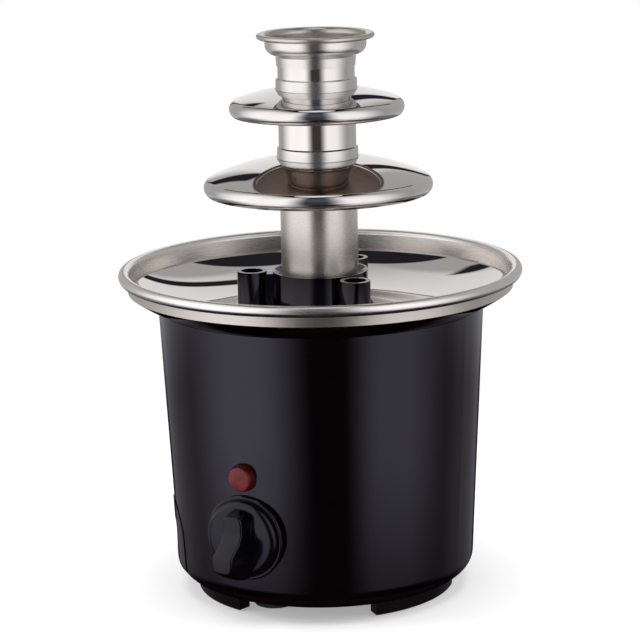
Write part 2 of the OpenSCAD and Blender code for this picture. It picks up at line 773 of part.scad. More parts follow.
module crown() color("#cfccc6") rotate_extrude() {
    wall_top = cup_top_z - tube_wall - cup_flare_r;
    translate([crown_in_r, neck_z]) square([tube_wall, neck_h]);
    translate([crown_neck_r, cup_z + cup_round])
        quarter_ring(cup_round, cup_round - tube_wall, 1, -1);
    translate([crown_in_r, cup_z]) square([tube_wall + 0.05, tube_wall]);
    translate([cup_r - tube_wall, cup_z + cup_round])
        square([tube_wall, wall_top - cup_z - cup_round]);
    translate([cup_r + cup_flare_r, wall_top])
        quarter_ring(cup_flare_r + tube_wall, cup_flare_r, -1, 1);
    translate([crown_lip_r - lip_roll_r, cup_top_z - lip_roll_r]) circle(lip_roll_r);
}

// Knob: stepped round skirt with a finger fin that is scooped for the thumb
module knob() color("#1d1c1f") face_out(0, knob_face_r + knob_back, knob_z) difference() {
    union() {
        rotate_extrude() polygon([[0, 0], [knob_r, 0], [knob_r, 0.9], [knob_r - 0.6, 1.5],
            [knob_r - 1.7, 1.5], [knob_r - 1.7, 2.6], [knob_r - 3, 3.8], [0, 4.6]]);
        intersection() {
            fin_body();
            rotate([90, 0, 90]) linear_extrude(height = 40, center = true) fin_side();
        }
    }
    translate([0, 0, -1]) cylinder(r = knob_r - 4.4, h = 3.3);
    translate([0, 0, 1]) cylinder(r = switch_shaft_r + 0.03, h = 9);
}

// Fin seen along the knob's axis: a bar that widens to its foot and swells at each end
module fin_body() {
    foot = fin_half + fin_waist;
    lobe_h = knob_depth - fin_drop - fin_low;
    translate([0, nose_lobe_u, 0]) rotate([90, 0, 0])
        linear_extrude(height = nose_lobe_u - tail_lobe_u)
            polygon([[-foot, fin_low], [foot, fin_low], [fin_half, knob_depth], [-fin_half, knob_depth]]);
    translate([0, nose_lobe_u, fin_low])
        cylinder(r1 = fin_half + nose_flare, r2 = fin_half, h = lobe_h);
    translate([0, tail_lobe_u, fin_low])
        cylinder(r1 = fin_half + tail_flare, r2 = fin_half, h = knob_depth - fin_low);
}

// Fin seen from the side: a low nose, an ogee scoop and a tall tail
module fin_side() {
    low = knob_depth - fin_drop;
    middle = (scoop_u + ridge_u) / 2;
    difference() {
        polygon([[fin_nose_u, fin_low], [nose_lobe_u + fin_half, low], [nose_lobe_u + fin_half, knob_depth],
            [tail_lobe_u - fin_half / 2, knob_depth], [tail_lobe_u - fin_half - 1, knob_depth - 3],
            [fin_tail_u, fin_low + 2], [fin_tail_u, fin_low]]);
        translate([scoop_u, low]) square(fin_nose_u);
        translate([scoop_u, low + fin_round]) circle(fin_round);
        translate([middle, low + fin_round]) square(fin_nose_u);
        difference() {
            translate([ridge_u, knob_depth - fin_round]) square([middle - ridge_u, fin_round + 1]);
            translate([ridge_u, knob_depth - fin_round]) circle(fin_round);
        }
    }
}

module switch_shaft() color("#d5d4d0") face_out(0, knob_face_r, knob_z)
    translate([0, 0, switch_pad - 6]) cylinder(r = switch_shaft_r, h = knob_back + 9.5 - switch_pad + 6);

module switch_body() color("#3b3a3d") face_out(0, knob_face_r, knob_z) difference() {
    union() {
        translate([-switch_w / 2, -switch_w / 2, switch_pad - switch_d])
            cube([switch_w, switch_w, switch_d]);
        translate([0, 0, switch_pad - 1])
            cylinder(r = switch_bush_r, h = switch_bush_out - switch_pad + 1);
        for (x = [-9.5, 9.5]) for (y = [-6, 6])
            translate([x - 0.4, y - 2.4, switch_pad - switch_d - 6]) cube([0.8, 4.8, 6.5]);
    }
    translate([0, 0, switch_pad - 6 - rest_gap])
        cylinder(r = switch_shaft_r + run_fit, h = 40);
}

module switch_nut() color("#c2c1bd") face_out(0, knob_face_r, knob_z)
    hex_nut(7.2, switch_bush_r + run_fit, nut_seat, switch_nut_t);

module lamp_lens() color("#c3201c") face_out(0, lamp_face_r, lamp_z) {
    bevel = 0.8;
    draft = 0.45;
    translate([0, 0, lamp_seat])
        cylinder(r1 = lamp_r, r2 = lamp_r - draft, h = lamp_proud - lamp_seat - bevel);
    translate([0, 0, lamp_proud - bevel])
        cylinder(r1 = lamp_r - draft, r2 = lamp_r - draft - bevel, h = bevel);
    translate([0, 0, lamp_clip_z - 2.4]) cylinder(r = lamp_stem_r, h = lamp_seat - lamp_clip_z + 2.5);
}

module lamp_clip() color("#b7b6b1") face_out(0, lamp_face_r, lamp_z)
    tube(7.4, lamp_stem_r + run_fit, lamp_clip_z - 0.8, 0.8);

module lamp_body() color("#d9d6cc") face_out(0, lamp_face_r, lamp_z) {
    top = lamp_clip_z - 2.4;
    translate([0, 0, top - 14]) cylinder(r = 4.2, h = 14);
    for (side = [-1, 1]) translate([side * 2 - 0.3, -1.2, top - 18]) cube([0.6, 2.4, 4.5]);
}

// Arched insert that closes the notch in the housing's side, with a lip behind the wall
module cord_plate() color("#1a191d") difference() {
    union() {
        intersection() {
            rotate_extrude() difference() {
                intersection() {
                    body_section(plate_proud);
                    translate([0, seam_z]) square([housing_r_top * 1.2, housing_top_z]);
                }
                housing_inside();
            }
            arch_prism();
        }
        intersection() {
            rotate_extrude() intersection() {
                housing_inside_band();
                translate([0, seam_z]) square([housing_r_top, housing_top_z]);
            }
            arch_prism(arch_lip);
        }
        intersection() {
            face_out(cord_bearing, plate_face_r, gland_z) translate([0, 0, -6])
                cylinder(r = gland_flange_r, h = 5);
            rotate_extrude() body_section();
        }
    }
    face_out(cord_bearing, plate_face_r, gland_z) {
        translate([0, 0, -20]) cylinder(r = gland_r + fix_gap, h = 30);
        translate([0, 0, -gland_flange_t - 0.9]) cylinder(r = gland_flange_r + fix_gap, h = 10);
    }
}

// Thin band just inside the housing's wall
module housing_inside_band() polygon([
    [housing_in_low - fix_gap - arch_lip_t, seam_z], [housing_in_low - fix_gap, seam_z],
    [housing_in_low - fix_gap, shoulder_z],
    [housing_r(arch_top_z * 1.5) - housing_wall - fix_gap, arch_top_z * 1.5],
    [housing_r(arch_top_z * 1.5) - housing_wall - fix_gap - arch_lip_t, arch_top_z * 1.5],
    [housing_in_low - fix_gap - arch_lip_t, shoulder_z]]);

module cord_gland() color("#201f20") face_out(cord_bearing, plate_face_r, gland_z) difference() {
    union() {
        translate([0, 0, -gland_flange_t - 0.9]) cylinder(r = gland_flange_r, h = gland_flange_t);
        translate([0, 0, -gland_in]) cylinder(r = gland_r, h = gland_in - 1);
    }
    translate([0, 0, -gland_in - 1]) cylinder(r = cord_hole_r, h = gland_in + 5);
}

module terminal_block() color("#e4e0d2")
    stand(block_place[0], block_place[1], cover_top_z) difference() {
        translate([-block[0] / 2, -block[1] / 2, 0]) cube(block);
        for (i = [-1:1]) translate([i * block_pitch, 0, 0]) {
            translate([0, -block[1], block[2] * 0.4]) rotate([-90, 0, 0])
                cylinder(r = block_hole_r, h = 2 * block[1]);
            translate([0, 0, block[2] * 0.65]) cylinder(r = block_screw_r, h = block[2]);
        }
    }

housing();
base_cover();
rubber_feet();
cover_screws();
tie_rods();
rod_nuts();
chassis_plate();
chassis_spacers();
chassis_nuts();
bowl();
bowl_gasket();
bowl_nuts();
locating_studs();
heater_ring();
heater_plate();
thermostat();
thermal_fuse();
gearbox_case();
motor_can();
motor_screws();
shaft_bush();
bush_nut();
shaft_seal();
switch_body();
switch_nut();
lamp_lens();
lamp_body();
lamp_clip();
cord_plate();
cord_gland();
terminal_block();
drive_shaft();
auger();
knob();
switch_shaft();
tower_hub();
lower_tube();
lower_tier();
middle_tube();
upper_tier();
upper_tube();
crown();
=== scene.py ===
"""Looks of a table-top chocolate fountain, laid out as an add-on and run as a script."""

import math

import bpy
import numpy as np
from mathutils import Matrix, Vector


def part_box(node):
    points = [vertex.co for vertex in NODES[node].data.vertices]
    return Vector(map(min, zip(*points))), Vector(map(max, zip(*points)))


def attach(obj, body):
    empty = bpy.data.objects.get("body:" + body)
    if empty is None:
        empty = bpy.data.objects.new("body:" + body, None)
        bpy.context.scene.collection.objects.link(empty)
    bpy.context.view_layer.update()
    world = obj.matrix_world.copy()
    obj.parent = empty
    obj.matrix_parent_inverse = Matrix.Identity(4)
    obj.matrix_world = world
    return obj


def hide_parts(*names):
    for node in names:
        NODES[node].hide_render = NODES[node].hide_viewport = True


bl_info = {
    "name": "Chocolate fountain looks",
    "version": (1, 0, 0),
    "blender": (4, 5, 0),
    "location": "3D View > Sidebar > Fountain",
    "description": "Dresses the packed fountain with turned steel, moulded plastic and a studio",
    "category": "Object",
}

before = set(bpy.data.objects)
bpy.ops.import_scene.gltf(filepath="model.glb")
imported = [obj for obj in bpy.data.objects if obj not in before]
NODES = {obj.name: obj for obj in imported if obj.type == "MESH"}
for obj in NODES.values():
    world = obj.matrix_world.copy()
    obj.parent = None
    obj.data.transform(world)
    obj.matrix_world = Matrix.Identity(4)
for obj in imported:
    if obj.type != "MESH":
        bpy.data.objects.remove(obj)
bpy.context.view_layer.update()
MM = 0.001


def length(name, description, millimetres):
    """A length property with its default given in millimetres."""
    return bpy.props.FloatProperty(
        name=name, description=description, default=millimetres * MM, precision=5, unit="LENGTH"
    )


def angle(name, description, degrees):
    """An angle property with its default given in degrees."""
    return bpy.props.FloatProperty(
        name=name, description=description, default=math.radians(degrees), subtype="ANGLE"
    )


def colour(name, description, default):
    """A colour property."""
    return bpy.props.FloatVectorProperty(
        name=name, description=description, subtype="COLOR", size=3, min=0, max=1, default=default
    )


class FountainSizes(bpy.types.PropertyGroup):
    """Sizes of the pieces that are rebuilt here, in metres."""

    sheet: length("Bowl sheet", "Thickness of the bowl's steel", 0.7)
    tube_wall: length("Tube wall", "Thickness of tubes, domes and crown", 0.6)
    bowl_floor: length("Bowl floor", "Radius of the bowl's flat floor", 36)
    bowl_wall: length("Bowl wall", "Inside radius of the bowl's upright wall", 78)
    dish_rise: length("Dish rise", "Rise of the dish from floor to wall", 13.5)
    rim_roll: length("Rim roll", "Radius of the rolled rim", 2.235)
    collar: length("Socket collar", "Visible height of a socket collar", 4.6)
    socket: length("Socket depth", "Depth of a socket below its dome", 6)
    dome_hole: length("Dome hole", "Radius of the hole that a dome fits by", 16.52)
    edge_round: length("Dome edge", "Radius of the round along a dome's edge", 3.7)
    edge_curl: angle("Dome curl", "How far the round edge curls under past the upright", 50)
    crown_bore: length("Crown bore", "Inside radius of the crown's neck", 15.63)
    crown_neck: length("Crown neck", "Height of the crown's neck", 4.4)
    cup_round: length("Cup round", "Radius of the round under the crown's cup", 4.3)
    crown_lip: length("Crown lip", "Radius of the roll along the crown's lip", 1.1)
    fin_half: length("Knob fin", "Half the width of the top of the knob's fin", 4.4)
    fin_drop: length("Fin drop", "How much lower the fin's upper end is than its lower", 8)
    camera_distance: length("Camera distance", "From the tower's axis, along the table", 1003)
    camera_height: length("Camera height", "Height above the table", 335.5)


class FountainColours(bpy.types.PropertyGroup):
    """Base colours of the finishes."""

    steel: colour("Steel", "Tubes, domes, bowl and crown", (0.74, 0.71, 0.675))
    housing: colour("Housing", "Glossy housing and hub", (0.0014, 0.0002, 0.0005))
    knob: colour("Knob", "Satin face of the knob", (0.0016, 0.0012, 0.0022))
    cover: colour("Base cover", "Brownish base cover", (0.003, 0.0012, 0.0016))
    lamp: colour("Lamp", "Lens of the lamp", (0.17, 0.018, 0.017))
    floor: colour("Floor", "Pale studio floor", (0.86, 0.86, 0.86))


def sizes():
    """The scene's sizes."""
    return bpy.context.scene.fountain_sizes


def colours():
    """The scene's colours."""
    return bpy.context.scene.fountain_colours


# Shapes


def arc(centre, radius, start, end, steps):
    """Points of a circular arc: centre plus radius times cosine and sine from start to end degrees."""
    t = np.radians(np.linspace(start, end, steps))
    return np.column_stack([centre[0] + radius * np.cos(t), centre[1] + radius * np.sin(t)])


def eased(points, radii, steps=6):
    """A closed outline whose corners are eased.

    Each corner becomes a quadratic curve from a point on one side to a point on the other,
    both at the corner's radius, or at 0.45 of the shorter side if that is less.
    """
    p = np.asarray(points, float)
    radii = np.broadcast_to(np.asarray(radii, float), (len(p),))
    back = np.roll(p, 1, 0) - p
    ahead = np.roll(p, -1, 0) - p
    back_len = np.linalg.norm(back, axis=1)
    ahead_len = np.linalg.norm(ahead, axis=1)
    reach = np.minimum(radii, 0.45 * np.minimum(back_len, ahead_len))
    a = p + back * (reach / back_len)[:, None]
    b = p + ahead * (reach / ahead_len)[:, None]
    s = np.linspace(0, 1, steps)[None, :, None]
    curve = (1 - s) ** 2 * a[:, None] + 2 * s * (1 - s) * p[:, None] + s**2 * b[:, None]
    keep = np.where(reach > 1e-9, steps, 1)
    return np.concatenate([curve[i, : keep[i]] for i in range(len(p))])


def grid_faces(rows, columns, wrap_rows, wrap_columns):
    """Quads of a grid of points, joined round at either edge where asked."""
    r = np.arange(rows if wrap_rows else rows - 1)
    c = np.arange(columns if wrap_columns else columns - 1)
    i, j = np.meshgrid(r, c, indexing="ij")
    k = (i + 1) % rows
    m = (j + 1) % columns
    corners = [i * columns + j, k * columns + j, k * columns + m, i * columns + m]
    return np.stack(corners, -1).reshape(-1, 4)


def put_mesh(name, points, faces, material, sharp=38):
    """A mesh object from arrays, smooth up to the given angle."""
    mesh = bpy.data.meshes.new(name)
    mesh.from_pydata(points.tolist(), [], faces)
    mesh.validate()
    mesh.update()
    mesh.shade_smooth()
    mesh.set_sharp_from_angle(angle=math.radians(sharp))
    mesh.materials.append(material)
    obj = bpy.data.objects.new(name, mesh)
    bpy.context.scene.collection.objects.link(obj)
    return obj


def faced_front(place):
    """Turns local points so that their height points at the viewer from a place on the front."""
    return lambda p: np.column_stack([place[0] + p[:, 0], place[1] - p[:, 2], place[2] + p[:, 1]])


def turned(name, outline, material, turns=224, sharp=38, stand=None):
    """A closed outline (radius, height) carried round an axis.

    Point = (radius times cosine, radius times sine, height) for each angle of the turn.
    Points on the axis become one point each. The outline is reversed where needed so that
    the faces point outwards. The stand, if given, moves the points to their place.
    """
    outline = np.asarray(outline, float)
    x, y = outline[:, 0], outline[:, 1]
    if np.sum(x * np.roll(y, -1) - np.roll(x, -1) * y) > 0:
        outline = outline[::-1]
    rows = len(outline)
    t = np.linspace(0, 2 * math.pi, turns, endpoint=False)
    r = outline[:, :1]
    height = np.broadcast_to(outline[:, 1:], (rows, turns))
    points = np.stack([r * np.cos(t), r * np.sin(t), height], -1).reshape(-1, 3)
    faces = grid_faces(rows, turns, True, True)
    on_axis = np.flatnonzero(outline[:, 0] < 1e-9)
    merged = np.arange(rows * turns).reshape(rows, turns)
    merged[on_axis] = merged[on_axis, :1]
    faces = [list(dict.fromkeys(face)) for face in merged.reshape(-1)[faces].tolist()]
    faces = [face for face in faces if len(face) > 2]
    return put_mesh(name, stand(points) if stand else points, faces, material, sharp)


def loft(name, rings, material, sharp=38, stand=None):
    """Rings of points that mirror left and right, joined in turn and closed by rungs at both ends."""
    rings = np.asarray(rings, float)
    rows, columns = rings.shape[:2]
    faces = grid_faces(rows, columns, False, True).tolist()
    for i in range(columns // 2):
        a, b = i, (columns - i) % columns
        c, d = i + 1, columns - i - 1
        rung = list(dict.fromkeys([a, c, d, b]))
        top = (rows - 1) * columns
        faces.append([top + k for k in rung[::-1]])
        faces.append(rung)
    points = rings.reshape(-1, 3)
    faces = [face for face in faces if len(face) > 2]
    return put_mesh(name, stand(points) if stand else points, faces, material, sharp)


def second_finish(piece, material, chosen):
    """Another material on the faces that a test of their centres and normals chooses."""
    mesh = piece.data
    mesh.materials.append(material)
    centres = np.empty(len(mesh.polygons) * 3)
    normals = np.empty(len(mesh.polygons) * 3)
    mesh.polygons.foreach_get("center", centres)
    mesh.polygons.foreach_get("normal", normals)
    finishes = np.empty(len(mesh.polygons), np.int32)
    mesh.polygons.foreach_get("material_index", finishes)
    finishes[chosen(centres.reshape(-1, 3), normals.reshape(-1, 3))] = len(mesh.materials) - 1
    mesh.polygons.foreach_set("material_index", finishes)


def from_axis(points):
    """Distance of each point from the tower's axis."""
    return np.hypot(points[:, 0], points[:, 1])


def settle(piece, body, slot, *nodes):
    """The piece rides on a body and stands for the nodes named, which it hides. The slot is not used."""
    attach(piece, body)
    if nodes:
        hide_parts(*nodes)
    return piece


# Finishes

# The middle part of a noise, where nearly all of its values lie, and a quarter of a turn.
NOISE_SPAN = (0.3, 0.7)
QUARTER_TURN = 0.25


def link(tree, a, b):
    """Joins two sockets."""
    tree.links.new(a, b)


def node(tree, kind, **values):
    """A shader node with properties and input defaults set by name."""
    made = tree.nodes.new(kind)
    for key, value in values.items():
        if hasattr(made, key):
            setattr(made, key, value)
        else:
            made.inputs[key.replace("_", " ")].default_value = value
    return made


def math_node(tree, operation, a, b=None):
    """The result of a math node on sockets or plain numbers."""
    made = tree.nodes.new("ShaderNodeMath")
    made.operation = operation
    for socket, value in zip(made.inputs, (a, b)):
        if value is None:
            continue
        if isinstance(value, (int, float)):
            socket.default_value = value
        else:
            tree.links.new(value, socket)
    return made.outputs[0]


def new_group(name, inputs, outputs):
    """A shader node group with float or vector sockets."""
    group = bpy.data.node_groups.new(name, "ShaderNodeTree")
    for label, kind, default in inputs:
        socket = group.interface.new_socket(label, in_out="INPUT", socket_type=kind)
        if default is not None:
            socket.default_value = default
    for label, kind in outputs:
        group.interface.new_socket(label, in_out="OUTPUT", socket_type=kind)
    return group, group.nodes.new("NodeGroupInput"), group.nodes.new("NodeGroupOutput")


def turned_lines_group():
    """Fine rings that a polishing wheel leaves on a turning piece.

    Noise over (radius, height, a little of the angle), so that lines run round the axis.
    """
    name = "Turned lines"
    if name in bpy.data.node_groups:
        return bpy.data.node_groups[name]
    group, given, out = new_group(
        name,
        [("Vector", "NodeSocketVector", None), ("Density", "NodeSocketFloat", 2400.0),
         ("Around", "NodeSocketFloat", 5.0)],
        [("Lines", "NodeSocketFloat"), ("Cloud", "NodeSocketFloat")],
    )
    split = group.nodes.new("ShaderNodeSeparateXYZ")
    link(group, given.outputs["Vector"], split.inputs[0])
    x, y, z = split.outputs
    across = math_node(group, "MULTIPLY", x, x)
    deep = math_node(group, "MULTIPLY", y, y)
    radius = math_node(group, "SQRT", math_node(group, "ADD", across, deep))
    spread = math_node(group, "MULTIPLY", radius, given.outputs["Density"])
    height = math_node(group, "MULTIPLY", z, given.outputs["Density"])
    off_axis = math_node(group, "ADD", x, 0.01 * MM)
    turn = math_node(group, "ARCTAN2", y, off_axis)
    around = math_node(group, "MULTIPLY", turn, given.outputs["Around"])
    join = group.nodes.new("ShaderNodeCombineXYZ")
    for source, socket in zip((spread, height, around), join.inputs):
        link(group, source, socket)
    fine = node(group, "ShaderNodeTexNoise", Scale=1.0, Detail=2.0, Roughness=0.6)
    link(group, join.outputs[0], fine.inputs["Vector"])
    link(group, fine.outputs["Fac"], out.inputs["Lines"])
    cloud = node(group, "ShaderNodeTexNoise", Scale=34.0, Detail=3.0, Roughness=0.55)
    link(group, given.outputs["Vector"], cloud.inputs["Vector"])
    link(group, cloud.outputs["Fac"], out.inputs["Cloud"])
    return group


def moulded_group():
    """The faint orange peel and handling smears of a moulded face."""
    name = "Moulded face"
    if name in bpy.data.node_groups:
        return bpy.data.node_groups[name]
    group, given, out = new_group(
        name,
        [("Vector", "NodeSocketVector", None), ("Grain", "NodeSocketFloat", 900.0)],
        [("Peel", "NodeSocketFloat"), ("Smear", "NodeSocketFloat")],
    )
    peel = node(group, "ShaderNodeTexNoise", Detail=2.0, Roughness=0.5)
    link(group, given.outputs["Vector"], peel.inputs["Vector"])
    link(group, given.outputs["Grain"], peel.inputs["Scale"])
    link(group, peel.outputs["Fac"], out.inputs["Peel"])
    smear = node(group, "ShaderNodeTexNoise", Scale=26.0, Detail=4.0, Roughness=0.6)
    link(group, given.outputs["Vector"], smear.inputs["Vector"])
    link(group, smear.outputs["Fac"], out.inputs["Smear"])
    return group


def start_material(name):
    """A new material with its Principled shader and Object coordinates."""
    material = bpy.data.materials.new(name)
    material.use_nodes = True
    tree = material.node_tree
    shader = tree.nodes["Principled BSDF"]
    place = tree.nodes.new("ShaderNodeTexCoord").outputs["Object"]
    return material, tree, shader, place


def use_group(tree, group, place, **values):
    """A shared effect placed in a material with its own values."""
    made = tree.nodes.new("ShaderNodeGroup")
    made.node_tree = group
    link(tree, place, made.inputs["Vector"])
    for key, value in values.items():
        made.inputs[key].default_value = value
    return made


def ranged(tree, source, low, high, from_low=0.0, from_high=1.0):
    """A value carried from one range to another, and held at its ends."""
    made = node(
        tree, "ShaderNodeMapRange", From_Min=from_low, From_Max=from_high, To_Min=low, To_Max=high
    )
    link(tree, source, made.inputs["Value"])
    return made.outputs[0]


def mixed(tree, factor, a, b):
    """A colour between two colours."""
    made = tree.nodes.new("ShaderNodeMix")
    made.data_type = "RGBA"
    link(tree, factor, made.inputs[0])
    made.inputs[6].default_value = (*a, 1)
    made.inputs[7].default_value = (*b, 1)
    return made.outputs[2]


def bumped(tree, shader, height, strength, distance):
    """Lets a height tilt the shader's normal."""
    bump = node(tree, "ShaderNodeBump", Strength=strength, Distance=distance)
    link(tree, height, bump.inputs["Height"])
    link(tree, bump.outputs[0], shader.inputs["Normal"])


def steel(name, smooth, rough, density, bump, tint=(1, 1, 1), aniso=0.0):
    """Stainless steel, made once: turned lines change its roughness and colour a little."""
    if name in bpy.data.materials:
        return bpy.data.materials[name]
    material, tree, shader, place = start_material(name)
    lines = use_group(tree, turned_lines_group(), place, Density=density)
    base = [c * t for c, t in zip(colours().steel, tint)]
    dark = [c * 0.9 for c in base]
    link(tree, mixed(tree, lines.outputs["Cloud"], dark, base), shader.inputs["Base Color"])
    gloss = ranged(tree, lines.outputs["Lines"], smooth, rough, *NOISE_SPAN)
    link(tree, gloss, shader.inputs["Roughness"])
    shader.inputs["Metallic"].default_value = 1.0
    shader.inputs["Anisotropic"].default_value = aniso
    if aniso:
        shader.inputs["Anisotropic Rotation"].default_value = QUARTER_TURN
        around = tree.nodes.new("ShaderNodeTangent")
        around.direction_type = "RADIAL"
        around.axis = "Z"
        link(tree, around.outputs[0], shader.inputs["Tangent"])
    bumped(tree, shader, lines.outputs["Lines"], bump, 0.02 * MM)
    return material


def plastic(name, colour, smooth, rough, grain, bump, tint=(1, 1, 1), gloss=0.5):
    """Moulded plastic, made once: peel in the surface and smears in the gloss."""
    if name in bpy.data.materials:
        return bpy.data.materials[name]
    material, tree, shader, place = start_material(name)
    face = use_group(tree, moulded_group(), place, Grain=grain)
    lifted = [min(1.0, c * 1.4) for c in colour]
    link(tree, mixed(tree, face.outputs["Smear"], colour, lifted), shader.inputs["Base Color"])
    sheen = ranged(tree, face.outputs["Smear"], smooth, rough, *NOISE_SPAN)
    link(tree, sheen, shader.inputs["Roughness"])
    shader.inputs["Specular Tint"].default_value = (*tint, 1)
    shader.inputs["Specular IOR Level"].default_value = gloss
    bumped(tree, shader, face.outputs["Peel"], bump, 0.05 * MM)
    return material


def dress(name, material):
    """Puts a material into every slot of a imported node."""
    obj = NODES[name]
    for slot in obj.material_slots:
        slot.material = material


def gloss_black():
    """Deep black that reflects a little violet."""
    return plastic("gloss_black", colours().housing, 0.06, 0.1, 700, 0.02, (0.87, 0.85, 1.0))


def satin_black():
    """The knob, rubbed by fingers."""
    return plastic("satin_black", colours().knob, 0.11, 0.16, 1500, 0.05, (0.92, 0.9, 1.0), 0.34)


def brown_black():
    """The base cover, duller and browner than the housing."""
    return plastic("brown_black", colours().cover, 0.24, 0.34, 1500, 0.1, (1, 0.8, 0.85), 0.09)


def satin_steel():
    """The brushed wall and rim of the bowl."""
    return steel("satin_steel", 0.24, 0.28, 9000, 0.02, (1.14, 1.14, 1.15))


def brushed_steel():
    """Collars and crown, rubbed with a fine belt."""
    return steel("brushed_steel", 0.2, 0.26, 7000, 0.03, (0.99, 1.0, 1.01))


def tube_satin():
    """The lower tube, warmer and duller than the ones above."""
    return steel("tube_satin", 0.26, 0.32, 7000, 0.03, (1.06, 1.05, 1.02), 0.8)


def cup_steel():
    """The inside of the crown: rougher steel whose darker, warmer colour is painted shade in the cup."""
    return steel("cup_steel", 0.26, 0.36, 5000, 0.06, (0.72, 0.68, 0.65))


def dull_steel():
    """Rougher steel whose darker, browner colour is painted shade, for the upper dome's underside and a
    socket tube's hidden foot.
    """
    return steel("dull_steel", 0.3, 0.36, 9000, 0.02, (0.5, 0.41, 0.39))


def bright_steel():
    """The lower dome's underside: smoother steel whose brighter, bluer colour is a painted reflection."""
    return steel("bright_steel", 0.05, 0.09, 1500, 0.01, (1.28, 1.33, 1.4))


def lip_steel():
    """The rolled lips of crown and bowl: rougher steel whose darker, warmer colour is painted shade under
    the rolls.
    """
    return steel("lip_steel", 0.26, 0.34, 5000, 0.03, (0.84, 0.81, 0.76))


def drawn_steel():
    """Polished tube."""
    return steel("drawn_steel", 0.035, 0.06, 5000, 0.015)


def mirror_steel():
    """The polished faces of dish and domes."""
    return steel("mirror_steel", 0.008, 0.02, 1500, 0.004)


# Operators

# The camera: degrees round from the front to the right, degrees down, degrees of roll, focal length
# in millimetres and sideways shift as a share of the frame.
CAMERA_TURN = 30
CAMERA_PITCH = 12.6
CAMERA_ROLL = 1.2
CAMERA_LENS = 140.6
CAMERA_SHIFT = -0.0019


